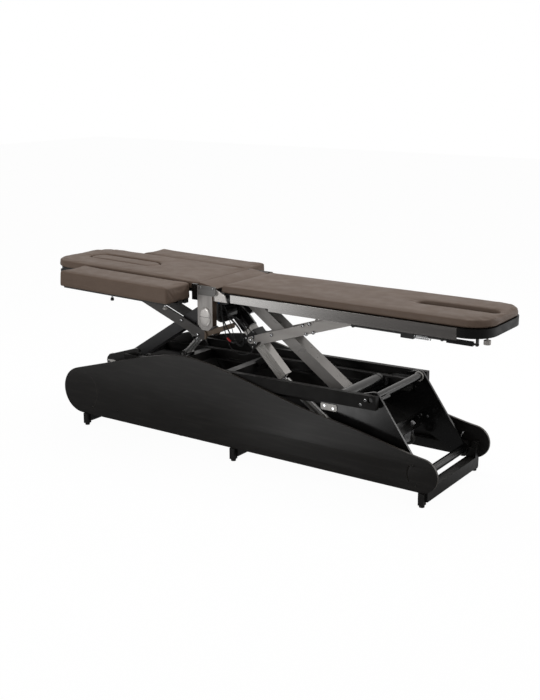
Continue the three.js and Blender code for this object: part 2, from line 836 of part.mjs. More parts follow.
function addCastors() {
  const axleZ = -castorDrop;
  const forkInner = wheelWidth / 2 + forkPlay;
  const underBar = -crossbarThickness / 2 - seatGap;
  for (const [side, y] of [["near", -castorSpread], ["far", castorSpread]]) {
    const castor = new THREE.Group();
    castor.position.set(footRockerBase.x + castorRun, y, footRockerBase.z + castorRise);
    castor.rotation.y = castorLean * degree;
    const crown = uprightRod(0, 0, castorPlateRadius, underBar - castorPlateThickness, underBar, tubeSides);
    const stem = uprightRod(0, 0, castorStemRadius, underBar - castorPlateThickness,
      crossbarThickness / 2 + seatGap + castorNutHeight / 2);
    const nut = uprightRod(0, 0, castorNutRadius, crossbarThickness / 2 + seatGap,
      crossbarThickness / 2 + seatGap + castorNutHeight, 6);
    const armOutline = belt([circle(castorOffset, axleZ, forkArmRadius),
      circle(0, underBar - forkArmRadius, forkArmRadius)], pinSides);
    const arms = platePair(armOutline, forkInner, forkInner + forkThickness);
    const axle = crossRod(castorOffset, axleZ, axleRadius, -forkInner - forkThickness, forkInner
      + forkThickness);
    place(castor, `castor_fork_${side}`, join(crown, stem, nut, arms, axle), zinc);
    const tread = crossRod(castorOffset, axleZ, wheelRadius, -wheelWidth / 2, wheelWidth / 2, tubeSides);
    const hub = crossRod(castorOffset, axleZ, wheelHubRadius, -forkInner + seatGap, forkInner - seatGap);
    const bore = crossRod(castorOffset, axleZ, axleRadius + seatGap, -forkInner, forkInner);
    place(castor, `castor_wheel_${side}`, cut(join(tread, hub), bore), greyRubber);
    table.add(castor);
  }
}

function addHeadRocker() {
  const base = headRockerBase;
  const top = headRockerTop;
  const outline = belt([circle(base.x, base.z, rockerLobeRadius), circle(top.x, top.z, rockerLobeRadius)]);
  const arms = platePair(outline, rockerInner, rockerOuter);
  const basePins = rodPair(base.x, base.z, topPinRadius, rockerInner, basePinReach);
  const topPins = rodPair(top.x, top.z, topPinRadius, rockerInner, topPinReach);
  const tube = crossRod(base.x + headCrossTubeShare * rockerRun, base.z + headCrossTubeShare * rockerRise,
    rockerTubeRadius, -rockerInner - overrun, rockerInner + overrun);
  place(table, "head_rocker", join(arms, basePins, topPins, tube), satinBlack);
}

// Lift frame: outer bars, inner slide rails, cross members with lugs and brackets at the head leg's foot.
function addLiftFrame() {
  const frame = pointed(footHingeX, 0, footHingeZ, -frameTilt);
  const barBottom = barCentreUp - barHeight / 2;
  const bars = bothSides((y0, y1) => cut(
    block(barStart, barEnd, y0, y1, barBottom, barBottom + barHeight),
    crossRod(footRockerAlong, rockerPivotUp, topPinRadius + seatGap, y0 - overrun, y1 + overrun),
    crossRod(headRockerAlong, rockerPivotUp, topPinRadius + openPivotPlay, y0 - overrun, y1 + overrun),
  ), barInner, barOuter);
  const bolts = barBoltInsets.map((inset, index) => rodPair(barEnd - inset, barBoltUps[index], barBoltRadius,
    barOuter - overrun, barOuter + barBoltStand, boltSides));
  const spacers = spacerPlaces.map((along) => blockPair(along - crossMemberHalf, along + crossMemberHalf,
    0, spacerTop, slideOuter + seatGap, barInner + overrun));
  const wholeBars = bars.map((bar, index) => join(bar, [...bolts, ...spacers].map((pair) => pair[index])));
  placePair(frame, "frame_bar", wholeBars, satinBlack);

  const rails = blockPair(slideStart, slideEnd, -slideHalfHeight, slideHalfHeight, slideInner, slideOuter);
  const channels = blockPair(slideStart - overrun, slideEnd + overrun, -slideChannelHalf, slideChannelHalf,
    slideInner - overrun, slideOuter - slideWeb);
  const memberReach = slideInner + overrun;
  const members = crossMemberPlaces.map((along) => block(along - crossMemberHalf, along + crossMemberHalf,
    -memberReach, memberReach, -crossMemberHalf, crossMemberHalf));
  const upperLug = belt([circle(crossMemberPlaces[0], actuatorPinUp, lugHalfLength),
    circle(crossMemberPlaces[0], 0, lugHalfLength)]);
  const upperLugs = platePair(upperLug, upperLugInner, upperLugInner + upperLugThickness);
  const lowerLug = belt([circle(crossMemberPlaces[1] + lowerLugShift, actuatorPinUp, lowerEyeRadius),
    circle(crossMemberPlaces[1], 0, lugHalfLength)]);
  const lowerInner = lowerEyeReach + seatGap;
  const lowerLugs = [
    plate(lowerLug, lowerActuatorY - lowerInner - lowerLugThickness, lowerActuatorY - lowerInner),
    plate(lowerLug, lowerActuatorY + lowerInner, lowerActuatorY + lowerInner + lowerLugThickness),
  ];
  const lugBores = crossRod(crossMemberPlaces[0], actuatorPinUp, unitPinRadius + seatGap, -slideInner,
    slideInner);
  const lug = belt([circle(0, 0, bracketLugRadius), circle(bracketArmX, bracketArmUp, bracketArmRadius)]);
  const sidePlates = platePair(lug, slideOuter - overrun, bracketOuter);
  const seats = rodPair(bracketSpacerX, barCentreUp, bracketSpacerRadius, bracketOuter - overrun,
    barInner - seatGap);
  const pinBores = rodPair(0, 0, legPinRadius + seatGap, slideInner, bracketOuter + overrun);
  const hollow = cut(join(rails, sidePlates), channels);
  place(frame, "slide_frame", cut(join(hollow, members, upperLugs, lowerLugs, seats), lugBores, pinBores),
    satinBlack);
  table.add(frame);
}

// Head leg: a box from its foot tube to two cheeks round the hub shaft, with a lug for the upper actuator.
function addHeadLeg() {
  const leg = pointed(footHingeX, 0, footHingeZ, -legAngle);
  const body = block(0, legLength - legCutBack, -legHalfWidth, legHalfWidth, -legDepth / 2, legDepth / 2);
  const cheekRoot = legLength - legCutBack - eyeRadius;
  const cheek = belt([circle(legLength, 0, eyeRadius), circle(cheekRoot, 0, legDepth / 2)]);
  const cheeks = platePair(cheek, cheekInner, legHalfWidth);
  const footTube = steppedShaft(0, 0, [[headLegTubeRadius, headLegTubeReach], [legPinRadius,
    headLegPinReach]], tubeSides);
  const lug = belt([circle(legLugAlong, -legLugBelow, legLugRadius), circle(legLugAlong, 0, eyeRadius)]);
  const lugs = platePair(lug, legLugInner, legLugOuter);
  const shaftHole = crossRod(legLength, 0, hubShaftRadius + seatGap, -legHalfWidth - overrun,
    legHalfWidth + overrun);
  place(leg, "head_leg", cut(join(body, cheeks, footTube, lugs), shaftHole), darkGrey);
  table.add(leg);
}

// Foot leg: a box that hangs below the line from hub to foot tube, an eye on the hub shaft, and shoes
// on the foot tube's pins that slide in the rails.
function addFootLeg() {
  const leg = pointed(hubX, 0, hubZ, footLegSlope);
  const box = block(legCutBack, legLength + footLegOverhang, -legHalfWidth, legHalfWidth, -legDepth / 2,
    legDepth / 2).rotateY(footLegSag * degree);
  const neck = plate(belt([circle(0, 0, footLegEyeRadius), circle(legCutBack, 0, footLegEyeRadius)]),
    -footLegEyeReach, footLegEyeReach).rotateY(footLegSag * degree);
  const shaftHole = crossRod(0, 0, hubShaftRadius + seatGap, -legHalfWidth, legHalfWidth);
  const tubeSeat = crossRod(legLength, 0, footLegTubeRadius + seatGap, -legHalfWidth - overrun,
    legHalfWidth + overrun, tubeSides);
  place(leg, "foot_leg", cut(join(box, neck), shaftHole, tubeSeat), paleGrey);
  const bandInner = footLegTubeReach - footLegBandWidth;
  const tube = steppedShaft(legLength, 0, [[footLegTubeRadius, bandInner], [footLegBandRadius,
    footLegTubeReach], [legPinRadius, shoeOuter - overrun]], tubeSides);
  place(leg, "foot_leg_tube", tube, glossBlack);
  table.add(leg);

  const frame = pointed(footHingeX, 0, footHingeZ, -frameTilt);
  const shoes = blockPair(shoeAlong - shoeLength / 2, shoeAlong + shoeLength / 2, -shoeHalfHeight,
    shoeHalfHeight, shoeInner, shoeOuter);
  const hole = crossRod(shoeAlong, 0, legPinRadius + seatGap, -slideOuter, slideOuter);
  placePair(frame, "slide_shoe", shoes.map((shoe) => cut(shoe, hole)), greyRubber);
  table.add(frame);
}

// Centre: shaft, side boxes, hangers and drive housings, with the column plates and their trim outside.
function addCentre() {
  const shaft = crossRod(hubX, hubZ, hubShaftRadius, -sideBoxInner - overrun, sideBoxInner + overrun);
  const boxes = blockPair(sideBoxStart, sideBoxEnd, sideBoxBottomZ, sideBoxTopZ, sideBoxInner, sideBoxOuter);
  const hanger = belt([circle(unitPivotX, unitPivotZ, hangerRadius),
    circle(sideBoxStart + hangerRadius, sideBoxBottomZ + hangerRadius, hangerRadius)]);
  const hangers = platePair(hanger, sideBoxInner, sideBoxInner + hangerThickness);
  const pivotHole = crossRod(unitPivotX, unitPivotZ, unitPinRadius + seatGap, -unitPinReach - seatGap,
    unitPinReach + seatGap);
  const housings = rodPair(housingX, unitPivotZ, housingRadius, sideBoxInner + hangerThickness - overrun,
    housingReach, tubeSides);
  const cheeks = blockPair(hingeBlockStart, wedgeStart - seatGap, sideBoxBottomZ, sideBoxTopZ, wedgeInner,
    wedgeOuter);
  const bridges = blockPair(sideBoxStart, wedgeStart - seatGap, sideBoxBottomZ, sideBoxTopZ - overrun,
    sideBoxOuter - overrun, wedgeOuter);
  const blocks = blockPair(hingeBlockStart, columnStart - seatGap, sideBoxBottomZ, hingeBlockTopZ,
    wedgeOuter - overrun, columnOuter);
  place(table, "centre_hub", cut(join(shaft, boxes, hangers, housings, cheeks, bridges, blocks),
    pivotHole), satinBlack);

  const columnOutline = points([
    [columnStart, columnTopZ], [columnStart, columnBottomZ + columnChamfer],
    [columnStart + columnChamfer, columnBottomZ], [columnEnd - columnChamfer, columnBottomZ],
    [columnEnd, columnBottomZ + columnChamfer], [columnEnd, columnTopZ],
  ]);
  const backTopZ = sideBoxBottomZ - seatGap;
  const backOutline = columnOutline.map((point) => new THREE.Vector2(point.x, Math.min(point.y, backTopZ)));
  const backs = platePair(backOutline, columnBackInner, columnInner + overrun);
  const columns = platePair(columnOutline, columnInner, columnOuter);
  placePair(table, "column_plate", columns.map((column, index) => join(column, backs[index])), brushed);

  const labelInner = columnOuter + seatGap;
  const labelOutline = [
    ...points([[labelStart, labelTopZ], [labelStart, labelBottomZ]]),
    ...arc(labelEnd - labelCornerRadius, labelBottomZ + labelCornerRadius, labelCornerRadius, -90, 0),
    new THREE.Vector2(labelEnd, labelTopZ),
  ];
  const labels = platePair(labelOutline, labelInner, labelInner + labelThickness);
  const screwZ = labelTopZ - 2 * labelScrewRadius;
  const screws = [labelStart + labelCornerRadius, labelEnd - labelCornerRadius].map((x) => rodPair(x, screwZ,
    labelScrewRadius, labelInner, labelInner + labelThickness + labelScrewRadius / 4, boltSides));
  const wholeLabels = labels.map((label, index) => join(label, screws.map((pair) => pair[index])));
  placePair(table, "label_plate", wholeLabels, paleGrey);

  const capOutline = arc(0, 0, 1, 0, 360, tubeSides).slice(1).map((point) =>
    new THREE.Vector2(capX + capHalfWidth * point.x, capZ + capHalfHeight * point.y));
  const splits = blockPair(capX - 2 * capHalfWidth, capX + 2 * capHalfWidth, capZ - capSplitGap / 2,
    capZ + capSplitGap / 2, labelInner + capThickness - capSplitDepth, labelInner + 2 * capThickness);
  const caps = platePair(capOutline, labelInner, labelInner + capThickness).map((cap) => cut(cap, splits));
  placePair(table, "pivot_cap", caps, aluminium);

  const wedgeOutline = points([
    [wedgeStart, wedgeBottomZ], [wedgeEnd, wedgeBottomZ],
    [wedgeEnd - wedgeCurve / 2, (wedgeBottomZ + wedgeTopZ) / 2 - wedgeCurve],
    [wedgeEnd - wedgeCurve, wedgeTopZ - 2 * wedgeCurve], [sideBoxEnd, wedgeTopZ], [wedgeStart, wedgeTopZ],
  ]);
  placePair(table, "hinge_wedge", platePair(wedgeOutline, wedgeInner, wedgeOuter), aluminium);
}

// A cable from a connector under the near side box, in a slack loop, to a clip on the drive housing.
function addWiring() {
  const route = new THREE.CatmullRomCurve3(hubCableRoute.map(([x, y, below]) => new THREE.Vector3(x, y,
    tableTopZ - below)));
  const section = new THREE.Shape(arc(0, 0, cableRadius, 0, 360, cableSides).slice(1));
  const cable = new THREE.ExtrudeGeometry(section, { steps: cableSteps, extrudePath: route,
    bevelEnabled: false });
  const [plugX, plugY] = hubCableRoute[0];
  const plugTop = sideBoxBottomZ - seatGap;
  const plug = block(plugX - connectorLength / 2, plugX + connectorLength / 2, plugY - connectorHalf,
    plugY + connectorHalf, plugTop - connectorHeight, plugTop);
  const [endX, , endBelow] = hubCableRoute[hubCableRoute.length - 1];
  const endZ = tableTopZ - endBelow;
  const clip = block(endX - connectorHalf, endX + connectorHalf,
    -housingReach - connectorHalf, -housingReach - seatGap, endZ - connectorHalf, endZ + connectorHalf);
  place(table, "wiring", join(cable, plug, clip), blackPlastic);
}

// Head section: pad, insert, flap, board, underframe and lever, all turned a little up at the head end.
function addHeadSection() {
  const { outer, inner } = turnedAbout(hubX, hubZ, headSectionTilt);
  const faceHole = slab(stadium(faceSlotStart, faceSlotEnd, faceSlotWidth / 2), boardBottomZ - overrun,
    tableTopZ + overrun);
  const pad = cushion(-tableReach, headPadEnd, -headPadHalfWidth, headPadHalfWidth, padCornerRadius,
    boardInset, padBottomZ, tableTopZ);
  place(inner, "head_pad", cut(pad, faceHole), vinyl);
  const insertOutline = stadium(faceSlotStart + insertPlay, faceSlotEnd - insertPlay,
    faceSlotWidth / 2 - insertPlay);
  place(inner, "face_insert", slab(insertOutline, padBottomZ, tableTopZ - insertPlay), vinyl);

  const flapOutline = points([
    [headPadEnd + seatGap, padBottomZ], [flapReliefX, tableTopZ - padThickness / 2 - flapSlope],
    [flapEnd, tableTopZ - padThickness / 2 - flapSlope], [flapEnd, tableTopZ - padThickness / 2 - flapSlope
      + flapThin], [headPadEnd + seatGap, tableTopZ - flapSlope],
  ]);
  place(inner, "head_end_flap", plate(flapOutline, -headPadHalfWidth + flapSlope,
    headPadHalfWidth - flapSlope), vinyl);

  const boardOutline = roundedRectangle(-tableReach + headBoardInset, headPadEnd, -boardHalfWidth,
    boardHalfWidth, padCornerRadius - headBoardInset, flapSlope);
  const faceLedge = slab(stadium(faceSlotStart + faceSlotLedge, faceSlotEnd - faceSlotLedge,
    faceSlotWidth / 2 - faceSlotLedge), boardBottomZ - overrun, boardTopZ + overrun);
  const legNotch = block(headNotchEnd, headPadEnd + overrun, -notchHalfWidth, notchHalfWidth,
    boardBottomZ - overrun, boardTopZ + overrun);
  const board = cut(slab(boardOutline, boardBottomZ, boardTopZ), faceLedge, legNotch);
  place(inner, "head_underframe", headUnderframe(board), satinBlack);
  place(inner, "head_lever", headLever(), darkGrey);
  for (const side of [-1, 1]) addArm(inner, side);
  table.add(outer);
}

// The head underframe is glued to its board, so its rails and crossbars run into the board's underside.
function headUnderframe(board) {
  const rails = blockPair(headUnderframeStart, headUnderframeEnd, frameRailBottomZ, boardBottomZ + overrun,
    frameRailInner, frameRailOuter);
  const crossPlaces = [headUnderframeStart + frameCrossHalf, ...headCrossPlaces];
  const crossbars = crossPlaces.flatMap((x) => bothSides((y0, y1) => block(x - frameCrossHalf,
    x + frameCrossHalf, y0, y1, frameRailBottomZ, boardBottomZ + overrun), frameRailInner, crossReach));
  const ties = crossPlaces.map((x) => block(x - frameCrossHalf, x + frameCrossHalf,
    -frameRailInner - overrun, frameRailInner + overrun, frameRailBottomZ, frameRailTopZ));
  const armZ = (frameRailBottomZ + frameRailTopZ) / 2;
  const armRadius = (frameRailTopZ - frameRailBottomZ) / 2;
  const arms = platePair(belt([circle(hubX, hubZ, eyeRadius), circle(headArmReach, armZ, armRadius)]),
    headArmInner, headArmOuter);
  const shaftHole = crossRod(hubX, hubZ, hubShaftRadius + seatGap, -sideBoxInner, sideBoxInner);
  const ceiling = block(flapReliefX, flapEnd, -sideBoxInner, sideBoxInner, flapClearZ(), tableTopZ);
  const belowBoard = block(headArmReach - overrun, flapReliefX, -sideBoxInner, sideBoxInner, frameRailTopZ,
    tableTopZ);
  const lugs = dropPlaces().flatMap((x) => [-1, 1].flatMap((side) => dropLug(x, side)));
  const pinBores = dropPlaces().flatMap((x) => [-dropHingeY, dropHingeY].map((y) =>
    lengthRod(x - 2 * dropLugHalf, x + 2 * dropLugHalf, y, dropHingeZ, dropPinRadius + seatGap)));
  return cut(join(board, rails, crossbars, ties, cut(join(arms), shaftHole, ceiling, belowBoard), lugs),
    pinBores);
}

const flapClearZ = () => tableTopZ - padThickness / 2 - flapSlope - seatGap;
const dropPlaces = () => [headCrossPlaces[0], headCrossPlaces[1]];

// The underframe's half of an arm's drop hinge: a lug that hangs from a crossbar's end.
function dropLug(x, side) {
  const near = crossReach - 2 * frameCrossHalf;
  const far = dropHingeY + dropLugRise;
  const post = block(x - dropLugHalf, x + dropLugHalf, near, crossReach, dropHingeZ - dropLugDrop,
    frameRailBottomZ + overrun);
  const tongue = block(x - dropLugHalf, x + dropLugHalf, near, far, dropHingeZ - dropLugDrop,
    dropHingeZ + dropLugRise);
  return [post, tongue].map((piece) => (side > 0 ? piece : mirrored(piece)));
}

// A geometry mirrored across the middle plane, with its faces still pointing out.
function mirrored(geometry) {
  const flipped = (geometry.index ? geometry.toNonIndexed() : geometry.clone()).scale(1, -1, 1);
  const spots = flipped.attributes.position;
  for (let first = 0; first < spots.count; first += 3) {
    const a = new THREE.Vector3().fromBufferAttribute(spots, first);
    const b = new THREE.Vector3().fromBufferAttribute(spots, first + 1);
    spots.setXYZ(first, b.x, b.y, b.z);
    spots.setXYZ(first + 1, a.x, a.y, a.z);
  }
  return flipped;
}

// Head lever: two dark plates from the underframe down to a fork end.
function headLever() {
  const root = circle(headLeverRootX, headLeverRootZ, headLeverRadius);
  const seat = circle(headLeverRootX - headLeverRadius / 2, frameRailBottomZ - seatGap - headLeverRadius / 2,
    headLeverRadius / 2);
  const bar = belt([root, circle(headLeverTipX, headLeverTipZ, headLeverRadius)]);
  const plates = platePair(bar, leverInner, leverOuter);
  const shoulders = platePair(belt([root, seat]), leverInner, leverOuter);
  const fork = belt([circle(headLeverTipX, headLeverTipZ, headForkRadius),
    circle(headLeverTipX + headForkReach, headLeverTipZ + headForkRise, headForkRadius)]);
  const forks = platePair(fork, headForkInner, leverInner + overrun);
  const bolts = headLeverBoltPlaces.flatMap(([x, below]) => rodPair(x, tableTopZ - below,
    leverBoltRadius, leverOuter - overrun,
    leverOuter + leverBoltHeight, boltSides));
  const tie = crossRod(root.x, root.z, leverTieRadius, -leverInner - overrun, leverInner + overrun);
  return join(plates, shoulders, forks, bolts, tie);
}

// One arm: pad, tray with hinge knuckles and pin, and two clamp knobs below.
function addArm(group, side) {
  const label = side < 0 ? "near" : "far";
  const padY0 = side < 0 ? -armOuter : armInner;
  const padY1 = side < 0 ? -armInner : armOuter;
  place(group, `arm_pad_${label}`, cushion(armStart, armEnd, padY0, padY1, cushionEdge / 2, cushionEdge / 2,
    armBottomZ, armTopZ, cushionEdge / 2, arcSteps / 2), vinyl);
  const trayTop = armBottomZ - seatGap;
  const trayBottom = trayTop - trayThickness;
  const sheet = block(armStart + trayInset, armEnd - trayInset, trayInner, armOuter - trayOuterInset,
    trayBottom, trayTop);
  const knuckles = dropPlaces().flatMap((x) => [-1, 1].map((end) => {
    const inner = x + end * (dropLugHalf + seatGap);
    const outer = x + end * (dropLugHalf + dropKnuckleLength);
    return block(Math.min(inner, outer), Math.max(inner, outer), dropHingeY - dropKnuckleHalf,
      trayInner + overrun, dropHingeZ - dropKnuckleHalf, dropHingeZ + dropKnuckleHalf);
  }));
  const pins = dropPlaces().map((x) => lengthRod(x - dropLugHalf - dropKnuckleLength,
    x + dropLugHalf + dropKnuckleLength, dropHingeY, dropHingeZ, dropPinRadius));
  const tray = join(sheet, knuckles, pins);
  place(group, `arm_tray_${label}`, side > 0 ? tray : mirrored(tray), satinBlack);
  knobPlaces.forEach((x, index) => {
    const y = side * (armOuter - knobInset);
    const reach = index === 0 ? x - trayInset : x;
    const stem = uprightRod(reach, y, knobStemRadius, trayBottom - seatGap - knobStemDrop,
      trayBottom - seatGap);
    const ball = uprightRod(reach, y, knobRadius, trayBottom - seatGap - knobStemDrop - knobHeight,
      trayBottom - seatGap - knobStemDrop);
    place(group, `arm_knob_${label}_${index + 1}`, join(stem, ball), aluminium);
  });
}

// Foot section: pad, board and side rails that slide together on an underframe with its lever.
function addFootSection() {
  const slot = slab(stadium(slotStart, slotEnd, slotWidth / 2), boardBottomZ - overrun, tableTopZ + overrun);
  const pad = cushion(footPadStart, tableReach, -footPadHalfWidth, footPadHalfWidth, boardInset,
    padCornerRadius, padBottomZ, tableTopZ);
  const hubRelief = block(footPadStart - overrun, footPadStart + hubReliefLength, -hubReliefHalfWidth,
    hubReliefHalfWidth, padBottomZ - overrun, padBottomZ + hubReliefHeight);
  place(table, "foot_pad", cut(pad, slot, hubRelief), vinyl);
  const capWall = sideRailOuter - sideRailInner;
  const boardOutline = roundedRectangle(footBoardStart, endCapReach - capWall + overrun, -boardHalfWidth,
    boardHalfWidth, flapSlope, endCapRadius - capWall + overrun);
  const notch = block(footBoardStart - overrun, footNotchEnd, -notchHalfWidth, notchHalfWidth,
    boardBottomZ - overrun, boardTopZ + overrun);

  const rails = blockPair(sideRailStart, endCapStart - seatGap, frameRailBottomZ, boardTopZ, sideRailInner,
    sideRailOuter);
  const lips = blockPair(sideRailLipStart, endCapStart - seatGap, frameRailBottomZ - sideRailLipDrop,
    frameRailBottomZ + overrun, sideRailLipInner, sideRailOuter);
  placePair(table, "foot_side_rail", rails.map((rail, index) => join(rail, lips[index])), aluminium);

  const capOutline = roundedRectangle(endCapStart, endCapReach, -sideRailOuter, sideRailOuter, flapSlope,
    endCapRadius);
  const capHollow = roundedRectangle(endCapStart - capWall, endCapReach - capWall, -sideRailInner,
    sideRailInner, flapSlope, endCapRadius - capWall);
  const endCap = cut(slab(capOutline, frameRailBottomZ, boardTopZ),
    slab(capHollow, frameRailBottomZ - overrun, boardTopZ + overrun));
  const board = join(slab(boardOutline, boardBottomZ, boardTopZ), endCap);
  place(table, "foot_board", cut(board, slot, notch), boardBlack);

  place(table, "foot_underframe", footUnderframe(), satinBlack);
  place(table, "foot_lever", footLever(), aluminium);
}

function footUnderframe() {
  const rails = blockPair(footUnderframeStart, footUnderframeEnd, frameRailBottomZ, frameRailTopZ,
    frameRailInner, frameRailOuter);
  const crossbars = footCrossPlaces.map((x) => block(x - frameCrossHalf, x + frameCrossHalf, -footCrossReach,
    footCrossReach, frameRailBottomZ, frameRailTopZ));
  const endTie = block(footUnderframeEnd - 2 * frameCrossHalf, footUnderframeEnd, -frameRailOuter,
    frameRailOuter, frameRailBottomZ, frameRailTopZ);
  const armZ = (frameRailBottomZ + frameRailTopZ) / 2;
  const armRadius = (frameRailTopZ - frameRailBottomZ) / 2;
  const arms = platePair(belt([circle(hubX, hubZ, footEyeRadius), circle(footArmReach, armZ, armRadius)]),
    footArmInner, leverOuter);
  const shaftHole = crossRod(hubX, hubZ, hubShaftRadius + seatGap, -sideBoxInner, sideBoxInner);
  const ceiling = block(footPadStart - overrun, footArmReach + overrun, -sideBoxInner, sideBoxInner,
    frameRailTopZ, tableTopZ);
  return join(rails, crossbars, endTie, cut(join(arms), shaftHole, ceiling));
}

// Foot lever: two silver plates from the drive carriage up to the underframe, with bolts and studs.
function footLever() {
  const slope = Math.tan(footLeverSlope * degree);
  const seatZ = frameRailBottomZ - seatGap;
  const topStartZ = footLeverStartZ + footLeverDepth;
  const outline = points([
    [footLeverStartX, footLeverStartZ], [footLeverStartX + footLeverRun, footLeverStartZ
    + footLeverRun * slope],
    [footLeverEndX, seatZ], [footLeverStartX + (seatZ - topStartZ) / slope, seatZ], [footLeverStartX,
    topStartZ],
  ]);
  const plates = platePair(outline, leverInner, leverOuter);
  const carriage = carriagePlace();
  const nose = belt([circle(carriage.x, carriage.z, noseRadius),
    circle(footLeverStartX + noseRun, topStartZ - noseRadius + noseRun * slope, noseRadius)]);
  const noses = platePair(nose, leverInner, leverOuter);
  const bolts = footLeverBoltPlaces.flatMap(([x, below]) => rodPair(x, tableTopZ - below,
    leverBoltRadius, leverOuter - overrun,
    leverOuter + leverBoltHeight, boltSides));
  const tie = crossRod(footLeverStartX + footLeverRun, (footLeverStartZ + footLeverRun * slope + seatZ) / 2,
    leverTieRadius, -leverInner - overrun, leverInner + overrun);
  return join(plates, noses, bolts, tie);
}

function carriagePlace() {
  return {
    x: unitPivotX + carriageAlong * Math.cos(unitAngle * degree),
    z: unitPivotZ - carriageAlong * Math.sin(unitAngle * degree),
  };
}

// Release rod hung from the foot board along its near edge, with everything that it carries.
function addRelease() {
  const rod = lengthRod(releaseRodStart, releaseRodEnd, rodY, rodZ, releaseRodRadius);
  const hangers = [...rodHangerPlaces,
    releaseRodEnd - rodHangerHalf].map((x) => block(x - rodHangerWidth / 2, x + rodHangerWidth / 2,
    rodY - rodHangerHalf, rodY + rodHangerHalf, rodZ - rodHangerHalf, boardBottomZ - seatGap));
  const lockBlock = block(lockBlockStart, lockBlockStart + lockBlockLength, rodY - lockBlockHalf,
    rodY + lockBlockHalf, rodZ - lockBlockHalf, rodZ + lockBlockHalf);
  place(table, "release_rod", join(rod, hangers, lockBlock), satinBlack);
  place(table, "lock_spring", lockSpring(), chrome);

  const handle = block(handleStart, handleStart + handleLength, rodY - handleHalfDepth, rodY
    + handleHalfDepth, rodZ - handleHalfHeight, rodZ + handleHalfHeight);
  const bore = lengthRod(handleStart - overrun, handleStart + handleLength + overrun, rodY, rodZ,
    releaseRodRadius + rodPlay);
  place(table, "release_handle", cut(handle, bore), aluminium);

  const stem = uprightRod(endKnobX, endKnobY, knobStemRadius, endKnobBottomZ, frameRailBottomZ - seatGap);
  const grip = uprightRod(endKnobX, endKnobY, endKnobRadius, endKnobBottomZ, endKnobBottomZ + endKnobHeight,
    tubeSides);
  place(table, "end_knob", join(stem, grip), blackPlastic);
}

// The least gap between a coil's turns, measured on the centre points of its wire.
function leastTurnGap(centres, halfTurn) {
  let least = Infinity;
  for (let first = 0; first < centres.length; first += 1) {
    for (let second = first + halfTurn; second < centres.length; second += 1) {
      least = Math.min(least, centres[first].distanceTo(centres[second]) - 2 * springWireRadius);
    }
  }
  return least;
}

// The spring is one unbroken coil of wire round the rod.
function lockSpring() {
  const start = lockBlockStart + lockBlockLength + seatGap;
  const length = springEnd - start;
  const stepsPerTurn = 8;
  const sectionSides = 5;
  const ringCount = springTurns * stepsPerTurn + 1;
  const positions = [];
  const faces = [];
  const centres = [];
  const pitch = (length - 2 * springWireRadius) / springTurns;
  for (let ring = 0; ring < ringCount; ring += 1) {
    const turn = ring / stepsPerTurn;
    const angle = turn * 2 * Math.PI;
    const x = start + springWireRadius + turn * pitch;
    centres.push(new THREE.Vector3(x, rodY + springRadius * Math.cos(angle), rodZ
      + springRadius * Math.sin(angle)));
    for (let side = 0; side < sectionSides; side += 1) {
      const around = side / sectionSides * 2 * Math.PI;
      const radius = springRadius + springWireRadius * Math.cos(around);
      positions.push(x + springWireRadius * Math.sin(around), rodY + radius * Math.cos(angle),
        rodZ + radius * Math.sin(angle));
    }
  }
  for (let ring = 0; ring + 1 < ringCount; ring += 1) {
    for (let side = 0; side < sectionSides; side += 1) {
      const here = ring * sectionSides + side;
      const next = ring * sectionSides + (side + 1) % sectionSides;
      faces.push(here, here + sectionSides, next, next, here + sectionSides, next + sectionSides);
    }
  }
  const last = (ringCount - 1) * sectionSides;
  for (let side = 1; side + 1 < sectionSides; side += 1) {
    faces.push(0, side, side + 1);
    faces.push(last, last + side + 1, last + side);
  }
  const gap = leastTurnGap(centres, stepsPerTurn / 2);
  console.log(`Least gap between the spring's turns: ${gap.toFixed(2)} mm`);
  const geometry = new THREE.BufferGeometry();
  geometry.setAttribute("position", new THREE.Float32BufferAttribute(positions, 3));
  geometry.setIndex(faces);
  return geometry;
}

// Foot-tilt unit: motor, ribbed profile and a carriage that rides along the profile.
function addTiltUnit() {
  const unit = pointed(unitPivotX, 0, unitPivotZ, unitAngle);
  const profile = [
    ...motorNoseShares.map(([along, out]) => new THREE.Vector2(out * motorRadius, along * motorRadius)),
    new THREE.Vector2(motorRadius, motorEnd), new THREE.Vector2(0, motorEnd),
  ];
  const motor = new THREE.LatheGeometry(profile, tubeSides).rotateZ(-Math.PI / 2);
  const pin = crossRod(0, 0, unitPinRadius, -unitPinReach, unitPinReach);
  place(unit, "foot_unit_motor", join(motor, pin), glossBlack);

  const bar = block(motorEnd + seatGap, profileEnd, -profileHalf, profileHalf, -profileHalf, profileHalf);
  const grooves = profileGroovePlaces.flatMap((up) => blockPair(motorEnd, profileEnd + overrun,
    up - profileGroove / 2, up + profileGroove / 2, profileHalf - profileGrooveDepth, profileHalf + overrun));
  place(unit, "foot_unit_profile", cut(bar, grooves), aluminium);

  const bore = profileHalf + seatGap;
  const shell = bore + carriageWall;
  const from = carriageAlong - carriageHalfLength;
  const to = carriageAlong + carriageHalfLength;
  const pins = rodPair(carriageAlong, 0, carriagePinRadius, bore + overrun, carriagePinReach);
  const sleeve = cut(block(from, to, -shell, shell, -shell, shell),
    block(from - overrun, to + overrun, -bore, bore, -bore, bore));
  place(unit, "foot_unit_carriage", join(sleeve, pins), satinBlack);
  table.add(unit);
}

